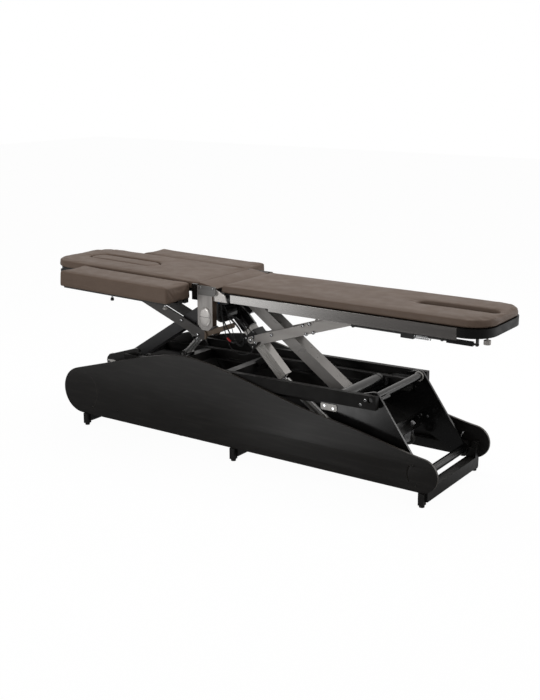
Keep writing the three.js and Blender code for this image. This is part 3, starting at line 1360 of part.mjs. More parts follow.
// Upper lift actuator: a base pin on the frame and twin barrels whose rods meet in the head leg's lug.
function addUpperActuator() {
  const base = onFrame(crossMemberPlaces[0], actuatorPinUp);
  const tipX = footHingeX + legLugAlong * Math.cos(legAngle * degree)
    + legLugBelow * Math.sin(legAngle * degree);
  const tipZ =
    footHingeZ + legLugAlong * Math.sin(legAngle * degree) - legLugBelow * Math.cos(legAngle * degree);
  const length = Math.hypot(tipX - base.x, tipZ - base.z);
  const actuator = pointed(base.x, 0, base.z, -Math.atan2(tipZ - base.z, tipX - base.x) / degree);
  const eye = crossRod(0, 0, upperEyeRadius, -upperEyeReach, upperEyeReach);
  const pin = crossRod(0, 0, unitPinRadius, -upperLugInner - upperLugThickness, upperLugInner
    + upperLugThickness);
  const yoke = block(0, upperBarrelStart + overrun, -upperEyeReach + overrun, upperEyeReach - overrun,
    -upperEyeRadius, upperEyeRadius);
  const spreads = [-upperBarrelSpread, upperBarrelSpread];
  const barrels = spreads.map((y) => lengthRod(upperBarrelStart, upperBarrelEnd, y, 0, upperBarrelRadius));
  const bores = spreads.map((y) => lengthRod(upperBarrelEnd - upperRodOverlap - upperRodRetract,
    upperBarrelEnd + overrun, y, 0, upperRodRadius + seatGap));
  place(actuator, "upper_actuator_barrel", cut(join(eye, pin, yoke, barrels), bores), glossBlack);
  const rods = spreads.map((y) => lengthRod(upperBarrelEnd - upperRodOverlap, length, y, 0, upperRodRadius));
  const tip = crossRod(length, 0, upperEyeRadius, -upperTipReach, upperTipReach);
  place(actuator, "upper_actuator_rod", join(rods, tip), chrome);
  table.add(actuator);
}

// Lower lift actuator: a barrel on the base's drive beam and a rod towards the frame's lug.
function addLowerActuator() {
  const tip = onFrame(crossMemberPlaces[1] + lowerLugShift, actuatorPinUp);
  const length = Math.hypot(tip.x - driveBeamX, tip.z - lowerPinZ);
  const actuator = pointed(driveBeamX, lowerActuatorY, lowerPinZ,
    -Math.atan2(tip.z - lowerPinZ, tip.x - driveBeamX) / degree);
  const eye = crossRod(0, 0, lowerEyeRadius, -lowerEyeReach, lowerEyeReach);
  const pin = crossRod(0, 0, lowerPinRadius, -lowerEyeReach - lowerLugThickness, lowerEyeReach
    + lowerLugThickness);
  const neck = lengthRod(0, lowerBarrelStart + lowerBarrelRadius, 0, 0, lowerRodRadius);
  const barrel = lengthRod(lowerBarrelStart + lowerEyeRadius / 2, lowerBarrelEnd, 0, 0, lowerBarrelRadius,
    tubeSides);
  const bore = lengthRod(lowerBarrelEnd - lowerRodDepth - lowerRodRetract, lowerBarrelEnd + overrun, 0, 0,
    lowerRodRadius + seatGap);
  place(actuator, "lower_actuator_barrel", cut(join(eye, pin, neck, barrel), bore), aluminium);
  const rod = lengthRod(lowerBarrelEnd - lowerRodDepth, length, 0, 0, lowerRodRadius);
  const rodEye = crossRod(length, 0, lowerEyeRadius, -lowerEyeReach, lowerEyeReach);
  place(actuator, "lower_actuator_rod", join(rod, rodEye), chrome);
  table.add(actuator);
}

addCovers();
addBase();
addFootRocker();
addCastors();
addHeadRocker();
addLiftFrame();
addHeadLeg();
addFootLeg();
addCentre();
addWiring();
addHeadSection();
addFootSection();
addRelease();
addTiltUnit();
addUpperActuator();
addLowerActuator();

export default table;
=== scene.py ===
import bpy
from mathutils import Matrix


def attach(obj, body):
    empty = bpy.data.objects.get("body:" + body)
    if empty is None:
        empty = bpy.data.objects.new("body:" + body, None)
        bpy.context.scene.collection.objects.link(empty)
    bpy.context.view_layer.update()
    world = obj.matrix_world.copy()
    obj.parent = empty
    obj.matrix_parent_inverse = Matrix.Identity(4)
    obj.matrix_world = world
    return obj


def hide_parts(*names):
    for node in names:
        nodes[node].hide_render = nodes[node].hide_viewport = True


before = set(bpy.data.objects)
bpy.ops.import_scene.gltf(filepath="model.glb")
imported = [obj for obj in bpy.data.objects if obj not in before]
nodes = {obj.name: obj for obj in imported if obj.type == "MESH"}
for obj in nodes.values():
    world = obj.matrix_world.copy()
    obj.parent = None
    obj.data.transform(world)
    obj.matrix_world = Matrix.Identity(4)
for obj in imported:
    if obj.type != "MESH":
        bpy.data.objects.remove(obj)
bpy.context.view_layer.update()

import math

import bmesh
import bpy
from mathutils import Matrix, Vector

mm = 0.001

# Studio: a pale floor that runs out to white, one broad soft lamp above the table, a low fill from the
# camera's side and a camera that stands at the foot end's near corner, looking down the table.
scene = bpy.context.scene
scene.view_settings.view_transform = "Standard"
camera_right = Vector((0.824022, 0.566558, 0.0))
camera_up = Vector((-0.144828, 0.210643, 0.966775))
camera_back = Vector((0.547734, -0.796644, 0.255628))
camera_data = bpy.data.cameras.new("camera")
camera_data.lens = 56.405
camera_data.sensor_width = 36
camera_data.clip_end = 60
camera = bpy.data.objects.new("camera", camera_data)
scene.collection.objects.link(camera)
turn = Matrix((camera_right, camera_up, camera_back)).transposed()
camera.matrix_world = Matrix.Translation((2.504, -3.615, 1.580)) @ turn.to_4x4()
scene.camera = camera


def soft_lamp(name, place, target, width, height, power):
    data = bpy.data.lights.new(name, "AREA")
    data.shape = "RECTANGLE"
    data.size = width
    data.size_y = height
    data.energy = power
    lamp = bpy.data.objects.new(name, data)
    lamp.location = place
    lamp.rotation_euler = (Vector(target) - Vector(place)).to_track_quat("-Z", "Y").to_euler()
    scene.collection.objects.link(lamp)


soft_lamp("overhead", (-0.2, 0.7, 3.4), (0, 0, 0.6), 3.0, 2.0, 34)
soft_lamp("front_fill", (-1.6, -4.2, 1.5), (0, 0, 0.5), 1.6, 1.4, 34)
soft_lamp("rim", (2.9, 2.6, 1.9), (0.4, 0, 0.4), 1.2, 1.6, 22)


def new_tree(material):
    material.use_nodes = True
    tree = material.node_tree
    tree.nodes.clear()
    return tree


def fade(tree, value, start, end, low, high):
    """A soft step of a value between two places."""
    step = tree.nodes.new("ShaderNodeMapRange")
    step.interpolation_type = "SMOOTHSTEP"
    for name, number in (("From Min", start), ("From Max", end), ("To Min", low), ("To Max", high)):
        step.inputs[name].default_value = number
    tree.links.new(value, step.inputs["Value"])
    return step.outputs[0]


def combined(tree, operation, first, second):
    node = tree.nodes.new("ShaderNodeMath")
    node.operation = operation
    for socket, value in zip(node.inputs, (first, second)):
        if isinstance(value, (int, float)):
            socket.default_value = value
        else:
            tree.links.new(value, socket)
    return node.outputs[0]


def by_ray(tree, seen, mirrored, lit, seen_share=1.0):
    """One surface for the camera, one for reflections and one that lights the rest."""
    path = tree.nodes.new("ShaderNodeLightPath")
    first = tree.nodes.new("ShaderNodeMixShader")
    tree.links.new(path.outputs["Is Glossy Ray"], first.inputs[0])
    tree.links.new(lit, first.inputs[1])
    tree.links.new(mirrored, first.inputs[2])
    second = tree.nodes.new("ShaderNodeMixShader")
    tree.links.new(combined(tree, "MULTIPLY", path.outputs["Is Camera Ray"], seen_share), second.inputs[0])
    tree.links.new(first.outputs[0], second.inputs[1])
    tree.links.new(seen, second.inputs[2])
    return second.outputs[0]


world = bpy.data.worlds.new("studio")
scene.world = world
tree = new_tree(world)
lit, mirrored, seen = [tree.nodes.new("ShaderNodeBackground") for _ in range(3)]
lit.inputs["Color"].default_value = (1.0, 0.985, 0.965, 1)
lit.inputs["Strength"].default_value = 0.25
seen.inputs["Color"].default_value = (1, 1, 1, 1)
mirrored.inputs["Color"].default_value = (1.0, 0.98, 0.96, 1)
towards = tree.nodes.new("ShaderNodeSeparateXYZ")
tree.links.new(tree.nodes.new("ShaderNodeTexCoord").outputs["Generated"], towards.inputs[0])
tree.links.new(fade(tree, towards.outputs["Y"], -0.5, 0.5, 0.16, 0.85), mirrored.inputs["Strength"])
tree.links.new(by_ray(tree, seen.outputs[0], mirrored.outputs[0], lit.outputs[0]),
               tree.nodes.new("ShaderNodeOutputWorld").inputs[0])

floor_mesh = bpy.data.meshes.new("floor")
floor_mesh.from_pydata([(-14, -14, 0), (14, -14, 0), (14, 14, 0), (-14, 14, 0)], [], [(0, 1, 2, 3)])
studio_floor = bpy.data.objects.new("floor", floor_mesh)
scene.collection.objects.link(studio_floor)
floor_paint = bpy.data.materials.new("floor paint")
tree = new_tree(floor_paint)
matt = tree.nodes.new("ShaderNodeBsdfDiffuse")
matt.inputs["Color"].default_value = (0.85, 0.85, 0.85, 1)
bright, painted_reflection = tree.nodes.new("ShaderNodeEmission"), tree.nodes.new("ShaderNodeEmission")
bright.inputs["Strength"].default_value = 1.04
# Painted reflections: reflected rays alone see the floor glow. It is brighter at the head end in front, behind the
# table, past the foot end and in one patch in front of the near cover, which puts painted highlights on the covers
# and rails.
place = tree.nodes.new("ShaderNodeSeparateXYZ")
tree.links.new(tree.nodes.new("ShaderNodeTexCoord").outputs["Object"], place.inputs[0])
head_side = fade(tree, place.outputs["X"], -0.9, -1.6, 0.0, 0.95)
in_front = fade(tree, place.outputs["Y"], -1.5, -2.3, 0.0, 1.0)
behind = fade(tree, place.outputs["Y"], -0.1, 0.9, 0.0, 0.7)
foot_side = fade(tree, place.outputs["X"], 1.0, 1.9, 0.0, 0.3)
highlight_patch_x = fade(tree, combined(tree, "ABSOLUTE", combined(tree, "ADD", place.outputs["X"], 0.05), 0), 0.05, 0.42,
               2.2, 0.0)
highlight_patch_y = fade(tree, combined(tree, "ABSOLUTE", combined(tree, "ADD", place.outputs["Y"], 1.0), 0), 0.05, 0.45,
               1.0, 0.0)
painted_reflection_level = combined(tree, "ADD", combined(tree, "MULTIPLY", head_side, in_front), 0.14)
for more in (behind, foot_side, combined(tree, "MULTIPLY", highlight_patch_x, highlight_patch_y)):
    painted_reflection_level = combined(tree, "ADD", painted_reflection_level, more)
tree.links.new(painted_reflection_level, painted_reflection.inputs["Strength"])
tree.links.new(by_ray(tree, bright.outputs[0], painted_reflection.outputs[0], matt.outputs[0], 0.93),
               tree.nodes.new("ShaderNodeOutputMaterial").inputs[0])
floor_mesh.materials.append(floor_paint)

# Base frame: welded steel rails, cross beams and levelling feet in black powder coat, with the lift
# actuator's beam across the middle and the control box standing between the rails at the head end.


def noise_field(tree, scale, detail=4.0, stretch=(1, 1, 1), kind="ShaderNodeTexNoise"):
    """A pattern in the part's own frame, stretched along its axes."""
    where = tree.nodes.new("ShaderNodeTexCoord")
    mapping = tree.nodes.new("ShaderNodeMapping")
    mapping.inputs["Scale"].default_value = stretch
    field = tree.nodes.new(kind)
    field.inputs["Scale"].default_value = scale
    if "Detail" in field.inputs:
        field.inputs["Detail"].default_value = detail
    tree.links.new(where.outputs["Object"], mapping.inputs["Vector"])
    tree.links.new(mapping.outputs["Vector"], field.inputs["Vector"])
    return field.outputs[0]


def spread(tree, value, low, high):
    ranged = tree.nodes.new("ShaderNodeMapRange")
    ranged.inputs["From Min"].default_value = 0.3
    ranged.inputs["From Max"].default_value = 0.7
    ranged.inputs["To Min"].default_value = low
    ranged.inputs["To Max"].default_value = high
    tree.links.new(value, ranged.inputs["Value"])
    return ranged.outputs[0]


def two_tone(tree, value, dark, light):
    blend = tree.nodes.new("ShaderNodeMix")
    blend.data_type = "RGBA"
    blend.inputs[6].default_value = (*dark, 1)
    blend.inputs[7].default_value = (*light, 1)
    tree.links.new(value, blend.inputs[0])
    return blend.outputs[2]


def relief(tree, value, distance, strength, under=None):
    bump = tree.nodes.new("ShaderNodeBump")
    bump.inputs["Distance"].default_value = distance
    bump.inputs["Strength"].default_value = strength
    tree.links.new(value, bump.inputs["Height"])
    if under is not None:
        tree.links.new(under, bump.inputs["Normal"])
    return bump.outputs[0]


def finished(name, dark, light, rough, metallic=0.0, cloud=9.0, stretch=(1, 1, 1), grain=900.0, depth=0.15,
             coat=0.0, specular=0.5):
    """A sprayed, moulded or machined finish: clouded colour, uneven gloss and a fine surface grain."""
    material = bpy.data.materials.new(name)
    tree = new_tree(material)
    shader = tree.nodes.new("ShaderNodeBsdfPrincipled")
    tree.links.new(shader.outputs[0], tree.nodes.new("ShaderNodeOutputMaterial").inputs[0])
    shader.inputs["Metallic"].default_value = metallic
    shader.inputs["Coat Weight"].default_value = coat
    shader.inputs["Coat Roughness"].default_value = 0.12
    shader.inputs["Specular IOR Level"].default_value = specular
    clouds = spread(tree, noise_field(tree, cloud, 5.0, stretch), 0.0, 1.0)
    tree.links.new(two_tone(tree, clouds, dark, light), shader.inputs["Base Color"])
    uneven = noise_field(tree, cloud * 3.1, 6.0, stretch)
    tree.links.new(spread(tree, uneven, rough[0], rough[1]), shader.inputs["Roughness"])
    fine = noise_field(tree, grain, 2.0, stretch)
    tree.links.new(relief(tree, fine, 0.0002, depth), shader.inputs["Normal"])
    return material


powder_black = finished("black powder coat", (0.0085, 0.008, 0.0075), (0.014, 0.013, 0.012), (0.3, 0.46),
                        depth=0.3)


def soft_shading(sharp_angle):
    """A tree that welds a part's faces together and keeps only its real corners sharp."""
    tree = bpy.data.node_groups.new("welded corners", "GeometryNodeTree")
    tree.interface.new_socket("Geometry", in_out="INPUT", socket_type="NodeSocketGeometry")
    tree.interface.new_socket("Geometry", in_out="OUTPUT", socket_type="NodeSocketGeometry")
    limit = tree.interface.new_socket("Corner angle", in_out="INPUT", socket_type="NodeSocketFloat")
    limit.default_value = sharp_angle
    start = tree.nodes.new("NodeGroupInput")
    end = tree.nodes.new("NodeGroupOutput")
    merge = tree.nodes.new("GeometryNodeMergeByDistance")
    merge.inputs["Distance"].default_value = 0.00002
    smooth = tree.nodes.new("GeometryNodeSetShadeSmooth")
    smooth.domain = "FACE"
    corners = tree.nodes.new("GeometryNodeSetShadeSmooth")
    corners.domain = "EDGE"
    corners.inputs["Shade Smooth"].default_value = False
    angle = tree.nodes.new("GeometryNodeInputMeshEdgeAngle")
    wide = tree.nodes.new("FunctionNodeCompare")
    wide.operation = "GREATER_THAN"
    tree.links.new(start.outputs["Geometry"], merge.inputs["Geometry"])
    tree.links.new(merge.outputs[0], smooth.inputs["Geometry"])
    tree.links.new(smooth.outputs[0], corners.inputs["Geometry"])
    tree.links.new(angle.outputs["Unsigned Angle"], wide.inputs[0])
    tree.links.new(start.outputs["Corner angle"], wide.inputs[1])
    tree.links.new(wide.outputs[0], corners.inputs["Selection"])
    tree.links.new(corners.outputs[0], end.inputs[0])
    return tree


corner_tree = soft_shading(math.radians(32))


def round_edges(piece, edge):
    """Breaks a piece's sharp edges by a small radius and shades its round faces smooth."""
    weld = piece.modifiers.new("weld", "NODES")
    weld.node_group = corner_tree
    if edge:
        bevel = piece.modifiers.new("broken edges", "BEVEL")
        bevel.width = edge
        bevel.segments = 2
        bevel.limit_method = "ANGLE"
        bevel.angle_limit = math.radians(40)
        bevel.use_clamp_overlap = True
        shade = piece.modifiers.new("shade", "NODES")
        shade.node_group = corner_tree


def dress(names, material, edge=0.7 * mm):
    for name in names:
        piece = nodes[name]
        piece.data.materials.clear()
        piece.data.materials.append(material)
        round_edges(piece, edge)


dress(["base_frame"], powder_black, 0.9 * mm)
dress(["control_box"], finished("moulded black", (0.009, 0.009, 0.01), (0.014, 0.014, 0.015), (0.42, 0.6),
                                grain=1400, depth=0.5), 2 * mm)

# Side covers: boards cut to a long arch with round ends, faced in black laminate. The cut edge carries a
# paler edging strip, a turned line marks each round end, and button-head screws hold the board.
laminate = finished("black laminate", (0.0095, 0.0083, 0.0074), (0.0125, 0.011, 0.0098), (0.3, 0.42), cloud=4.0,
                    stretch=(0.35, 1, 1), grain=700, depth=0.12)
tree = laminate.node_tree
shader = next(n for n in tree.nodes if n.type == "BSDF_PRINCIPLED")
scuffs = spread(tree, noise_field(tree, 60, 8.0, (0.12, 1, 1.3)), -0.35, 0.4)
old_colour = shader.inputs["Base Color"].links[0].from_socket
scuffed = tree.nodes.new("ShaderNodeMix")
scuffed.data_type = "RGBA"
scuffed.inputs[7].default_value = (0.03, 0.027, 0.024, 1)
scuffed.clamp_factor = True
tree.links.new(scuffs, scuffed.inputs[0])
tree.links.new(old_colour, scuffed.inputs[6])
tree.links.new(scuffed.outputs[2], shader.inputs["Base Color"])
edging = finished("edging strip", (0.05, 0.043, 0.037), (0.08, 0.069, 0.059), (0.36, 0.5), cloud=14)
chrome = finished("bright chrome", (0.62, 0.63, 0.64), (0.78, 0.78, 0.79), (0.1, 0.22), metallic=1.0, cloud=40)
black_screw = finished("blackened screw", (0.03, 0.03, 0.03), (0.07, 0.066, 0.06), (0.28, 0.4), metallic=0.7,
                       cloud=60)
cover_inner, cover_outer = 223 * mm, 235 * mm
cover_start, cover_end, cover_bottom, cover_peak = -942 * mm, 909 * mm, 55 * mm, 404 * mm
cover_head_radius, cover_foot_radius = 103 * mm, 66 * mm
crest_shares = [(0.211, 0.831), (0.275, 0.92), (0.332, 0.98), (0.381, 1), (0.446, 0.957), (0.528, 0.862),
                (0.682, 0.668), (0.803, 0.553), (0.929, 0.413)]
screw_shares = [(0.0913, 0.1032), (0.1686, 0.1261), (0.3598, 0.2092), (0.9541, 0.063), (0.9471, 0.2837)]
sides = (("near", -1), ("far", 1))


def arc(x, z, radius, first, last, steps):
    turns = [math.radians(first + (last - first) * i / steps) for i in range(steps + 1)]
    return [(x + radius * math.cos(a), z + radius * math.sin(a)) for a in turns]


def smooth_line(knots, steps):
    """Points on a curve that passes through every knot."""
    line = []
    for i in range(len(knots) - 1):
        p = [Vector(knots[max(0, min(len(knots) - 1, i + k))]) for k in (-1, 0, 1, 2)]
        for s in range(steps):
            t = s / steps
            a = 2 * p[1] + (p[2] - p[0]) * t
            b = (2 * p[0] - 5 * p[1] + 4 * p[2] - p[3]) * t * t
            c = (3 * p[1] - p[0] - 3 * p[2] + p[3]) * t ** 3
            line.append(tuple((a + b + c) / 2))
    return line + [tuple(knots[-1])]


def new_piece(name, mesh, materials):
    piece = bpy.data.objects.new(name, mesh)
    scene.collection.objects.link(piece)
    for material in materials:
        mesh.materials.append(material)
    return piece


def smoothed(mesh, corner):
    """Shades a mesh smooth except at corners sharper than an angle in degrees."""
    for polygon in mesh.polygons:
        polygon.use_smooth = True
    mesh.set_sharp_from_angle(angle=math.radians(corner))


def mesh_from(name, build):
    shape = bmesh.new()
    build(shape)
    bmesh.ops.remove_doubles(shape, verts=shape.verts, dist=1e-6)
    bmesh.ops.recalc_face_normals(shape, faces=shape.faces)
    mesh = bpy.data.meshes.new(name)
    shape.to_mesh(mesh)
    shape.free()
    return mesh


def extruded(shape, outline, y0, y1):
    """A plate whose outline lies in X and Z, between two layers."""
    rings = [[shape.verts.new((x, y, z)) for x, z in outline] for y in (y0, y1)]
    shape.faces.new(rings[0])
    shape.faces.new(rings[1])
    for i in range(len(outline)):
        j = (i + 1) % len(outline)
        shape.faces.new((rings[0][i], rings[0][j], rings[1][j], rings[1][i]))


def curve_mesh(name, curve):
    """The mesh that a drawn curve makes."""
    drawn = bpy.data.objects.new(name, curve)
    scene.collection.objects.link(drawn)
    graph = bpy.context.evaluated_depsgraph_get()
    mesh = bpy.data.meshes.new_from_object(drawn.evaluated_get(graph))
    bpy.data.objects.remove(drawn)
    return mesh


def sheet(name, outlines, thickness, edge):
    """A flat closed board with broken edges about its middle plane; outlines after the first are holes."""
    drawn = bpy.data.curves.new(name, "CURVE")
    drawn.dimensions = "2D"
    drawn.fill_mode = "BOTH"
    drawn.bevel_depth = edge
    drawn.bevel_resolution = 3
    drawn.offset = -edge
    drawn.extrude = thickness / 2 - edge
    for outline in outlines:
        spline = drawn.splines.new("POLY")
        spline.points.add(len(outline) - 1)
        spline.use_cyclic_u = True
        for i, (x, y) in enumerate(outline):
            spline.points[i].co = (x, y, 0, 1)
    mesh = curve_mesh(name, drawn)
    shape = bmesh.new()
    shape.from_mesh(mesh)
    bmesh.ops.remove_doubles(shape, verts=shape.verts, dist=1e-6)
    bmesh.ops.recalc_face_normals(shape, faces=shape.faces)
    shape.to_mesh(mesh)
    shape.free()
    smoothed(mesh, 32)
    return mesh


def break_edges(mesh, width, segments=2, angle=35):
    shape = bmesh.new()
    shape.from_mesh(mesh)
    sharp = [e for e in shape.edges if len(e.link_faces) == 2 and e.calc_face_angle() > math.radians(angle)]
    bmesh.ops.bevel(shape, geom=sharp, offset=width, segments=segments, profile=0.5, affect="EDGES",
                    clamp_overlap=True)
    shape.to_mesh(mesh)
    shape.free()
    smoothed(mesh, 32)


def turned(shape, profile, sides, place, axis, start_index=0):
    """A turned body: radius and height pairs about an axis through a place."""
    spin = Vector((0, 0, 1)).rotation_difference(Vector(axis)).to_matrix()
    rings = []
    for radius, height in profile:
        if radius < 1e-7:
            rings.append([shape.verts.new(Vector(place) + spin @ Vector((0, 0, height)))])
            continue
        ring = []
        for i in range(sides):
            a = 2 * math.pi * i / sides
            local = Vector((radius * math.cos(a), radius * math.sin(a), height))
            ring.append(shape.verts.new(Vector(place) + spin @ local))
        rings.append(ring)
    for low, high in zip(rings, rings[1:]):
        for i in range(sides):
            j = (i + 1) % sides
            corners = [low[i % len(low)], low[j % len(low)], high[j % len(high)], high[i % len(high)]]
            corners = list(dict.fromkeys(corners))
            if len(corners) > 2:
                shape.faces.new(corners).material_index = start_index
    for ring in (rings[0], rings[-1]):
        if len(ring) > 2:
            shape.faces.new(ring).material_index = start_index


def screw_head(name, socket):
    """A unit screw head, 1 in radius and standing along +Z, with a hexagon socket or a plain dome."""
    shape = bmesh.new()
    profile = [(0, -0.3), (1, -0.3), (1, 0.12), (0.94, 0.28), (0.75, 0.44), (0.5, 0.5)]
    profile += [(0.46, 0.47), (0.44, 0.16), (0, 0.14)] if socket else [(0.2, 0.56), (0, 0.57)]
    turned(shape, profile, 12, (0, 0, 0), (0, 0, 1))
    bmesh.ops.recalc_face_normals(shape, faces=shape.faces)
    mesh = bpy.data.meshes.new(name)
    shape.to_mesh(mesh)
    shape.free()
    smoothed(mesh, 38)
    head = bpy.data.objects.new(name, mesh)
    scene.collection.objects.link(head)
    return head


socket_head = screw_head("socket_head", True)
dome_head = screw_head("dome_head", False)
hex_head = bpy.data.objects.new("hex_head", mesh_from("hex_head", lambda shape: turned(
    shape, [(0, -0.3), (1, -0.3), (1, 0.55), (0.88, 0.66), (0, 0.66)], 6, (0, 0, 0), (0, 0, 1))))
scene.collection.objects.link(hex_head)


def fastener_tree():
    """Sets one head on every point, turned along the point's own direction and sized by an input."""
    tree = bpy.data.node_groups.new("fasteners on points", "GeometryNodeTree")
    tree.interface.new_socket("Geometry", in_out="OUTPUT", socket_type="NodeSocketGeometry")
    for name, kind in (("Geometry", "NodeSocketGeometry"), ("Head", "NodeSocketObject"),
                       ("Head radius", "NodeSocketFloat"), ("Finish", "NodeSocketMaterial")):
        tree.interface.new_socket(name, in_out="INPUT", socket_type=kind)
    start, end = tree.nodes.new("NodeGroupInput"), tree.nodes.new("NodeGroupOutput")
    head = tree.nodes.new("GeometryNodeObjectInfo")
    aim = tree.nodes.new("GeometryNodeInputNamedAttribute")
    aim.data_type = "FLOAT_VECTOR"
    aim.inputs["Name"].default_value = "aim"
    align = tree.nodes.new("FunctionNodeAlignRotationToVector")
    align.axis = "Z"
    copies = tree.nodes.new("GeometryNodeInstanceOnPoints")
    real = tree.nodes.new("GeometryNodeRealizeInstances")
    painted = tree.nodes.new("GeometryNodeSetMaterial")
    tree.links.new(start.outputs["Geometry"], copies.inputs["Points"])
    tree.links.new(start.outputs["Head"], head.inputs["Object"])
    tree.links.new(head.outputs["Geometry"], copies.inputs["Instance"])
    tree.links.new(aim.outputs["Attribute"], align.inputs["Vector"])
    tree.links.new(align.outputs[0], copies.inputs["Rotation"])
    tree.links.new(start.outputs["Head radius"], copies.inputs["Scale"])
    tree.links.new(copies.outputs[0], real.inputs[0])
    tree.links.new(real.outputs[0], painted.inputs["Geometry"])
    tree.links.new(start.outputs["Finish"], painted.inputs["Material"])
    tree.links.new(painted.outputs[0], end.inputs[0])
    return tree


fasteners = fastener_tree()


def plain_mesh(piece, name):
    """The mesh that a piece's modifiers make, with the modifiers gone."""
    graph = bpy.context.evaluated_depsgraph_get()
    mesh = bpy.data.meshes.new_from_object(piece.evaluated_get(graph))
    mesh.name = name
    piece.modifiers.clear()
    piece.data = mesh
    return piece


def fasten(name, places, head, radius, material, body):
    """One mesh of like fasteners: each place is a point and the direction that its head faces."""
    mesh = bpy.data.meshes.new(name)
    mesh.from_pydata([Vector(point) for point, _ in places], [], [])
    aims = mesh.attributes.new("aim", "FLOAT_VECTOR", "POINT")
    for i, (_, direction) in enumerate(places):
        aims.data[i].vector = Vector(direction).normalized()
    piece = bpy.data.objects.new(name, mesh)
    scene.collection.objects.link(piece)
    modifier = piece.modifiers.new("fasteners", "NODES")
    modifier.node_group = fasteners
    sockets = {s.name: s.identifier for s in fasteners.interface.items_tree if s.in_out == "INPUT"}
    modifier[sockets["Head"]] = head
    modifier[sockets["Head radius"]] = radius
    modifier[sockets["Finish"]] = material
    plain_mesh(piece, name)
    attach(piece, body)
    return piece


cover_length, cover_rise = cover_end - cover_start, cover_peak - cover_bottom
head_end = arc(cover_start + cover_head_radius, cover_bottom + cover_head_radius, cover_head_radius, 270, 106, 40)
foot_end = arc(cover_end - cover_foot_radius, cover_bottom + cover_foot_radius, cover_foot_radius, 80, -90, 40)
crest = [(cover_start + a * cover_length, cover_bottom + u * cover_rise) for a, u in crest_shares]
cover_outline = head_end + smooth_line([head_end[-1], *crest, foot_end[0]], 10)[1:-1] + foot_end
head_line = arc(cover_start + cover_head_radius, cover_bottom + cover_head_radius, 94 * mm, -50, 50, 40)
foot_centre = (cover_end - cover_foot_radius, cover_bottom + cover_foot_radius)
foot_slot = arc(*foot_centre, 57.4 * mm, 146, 214, 24) + arc(*foot_centre, 54.6 * mm, 214, 146, 24)
cover_screws = []
for label, side in sides:
    board = sheet("cover", [cover_outline, foot_slot], cover_outer - cover_inner, 1.2 * mm)
    board.transform(Matrix.Translation((0, side * (cover_inner + cover_outer) / 2, 0))
                    @ Matrix.Rotation(math.radians(90), 4, "X"))
    cover = new_piece("cover_board_" + label, board, [laminate, edging])
    for polygon in board.polygons:
        polygon.material_index = 1 if abs(polygon.normal.y) < 0.5 else 0
    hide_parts("side_cover_" + label)
    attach(cover, "base")
    lines = bpy.data.curves.new("turned line", "CURVE")
    lines.dimensions = "3D"
    lines.bevel_depth = 0.7 * mm
    lines.bevel_resolution = 1
    spline = lines.splines.new("POLY")
    spline.points.add(len(head_line) - 1)
    for i, (x, z) in enumerate(head_line):
        spline.points[i].co = (x, side * (cover_outer - 0.3 * mm), z, 1)
    trim = new_piece("turned_line_" + label, curve_mesh("turned line", lines), [edging])
    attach(trim, "base")
    cover_screws += [((cover_start + a * cover_length, side * cover_outer, cover_bottom + u * cover_rise),
                      (0, side, 0)) for a, u in screw_shares]
fasten("cover_screws", cover_screws, socket_head, 5 * mm, black_screw, "base")

# Foot rocker: two three-lobed steel plates in gloss black, joined by through tubes and the crossbar that
# carries the castors. White anchor plates are bolted over the plates' side lobes.
gloss_black = finished("gloss black enamel", (0.005, 0.005, 0.0055), (0.009, 0.0085, 0.008), (0.14, 0.24),
                       cloud=6, grain=400, depth=0.08)
white_enamel = finished("white enamel", (0.8, 0.78, 0.74), (0.88, 0.86, 0.83), (0.32, 0.45), cloud=30)
dress(["foot_rocker"], gloss_black, 0.8 * mm)
dress(["anchor_plate_near", "anchor_plate_far"], white_enamel, 0.6 * mm)
anchor_x, anchor_z = 422.057 * mm, 295.977 * mm
anchor_bolt_seat, rocker_cap_seat = 187.6 * mm, 217.5 * mm
fasten("anchor_bolts", [((anchor_x + dx, side * anchor_bolt_seat, anchor_z + dz), (0, side, 0))
                        for _, side in sides for dx, dz in ((-19 * mm, 3 * mm), (19 * mm, -3 * mm))],
       hex_head, 6.5 * mm, chrome, "foot_rocker_group")
crossbar_x, crossbar_z, crossbar_lean = 638.057 * mm, 191.977 * mm, 33
top_pivot_x, top_pivot_z, bush_seat = 617.057 * mm, 363.977 * mm, 177.8 * mm
base_pivot_x, base_pivot_z = 811.057 * mm, 91.977 * mm
flange = Matrix.Translation((crossbar_x, 0, crossbar_z)) @ Matrix.Rotation(math.radians(crossbar_lean), 4, "Y")
fasten("flange_bolts", [(flange @ Vector((dx, side * 174 * mm, dz)), (0, -side, 0))
                        for _, side in sides for dx, dz in ((-12 * mm, 10 * mm), (12 * mm, 26 * mm))],
       hex_head, 5.5 * mm, chrome, "foot_rocker_group")


def open_ends(shape):
    """Takes the flat ends off a ring whose profile closes on itself."""
    for face in [f for f in shape.faces if len(f.verts) > 4]:
        shape.faces.remove(face)


for label, side in sides:
    def bush(shape, y=side):
        profile = [(16.3, 0), (19.4, 0), (20.2, 0.8), (20.2, 4.4), (19.4, 5.2), (16.3, 5.2), (16.3, 0)]
        turned(shape, [(r * mm, h * mm) for r, h in profile], 40, (top_pivot_x, y * bush_seat, top_pivot_z),
               (0, -y, 0))
        open_ends(shape)
    mesh = mesh_from("pivot bush", bush)
    smoothed(mesh, 40)
    ring = new_piece("pivot_bush_" + label, mesh, [white_enamel])
    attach(ring, "foot_rocker_group")
fasten("rocker_caps", [((base_pivot_x, side * rocker_cap_seat, base_pivot_z), (0, side, 0)) for _, side in sides],
       dome_head, 9 * mm, chrome, "foot_rocker_group")

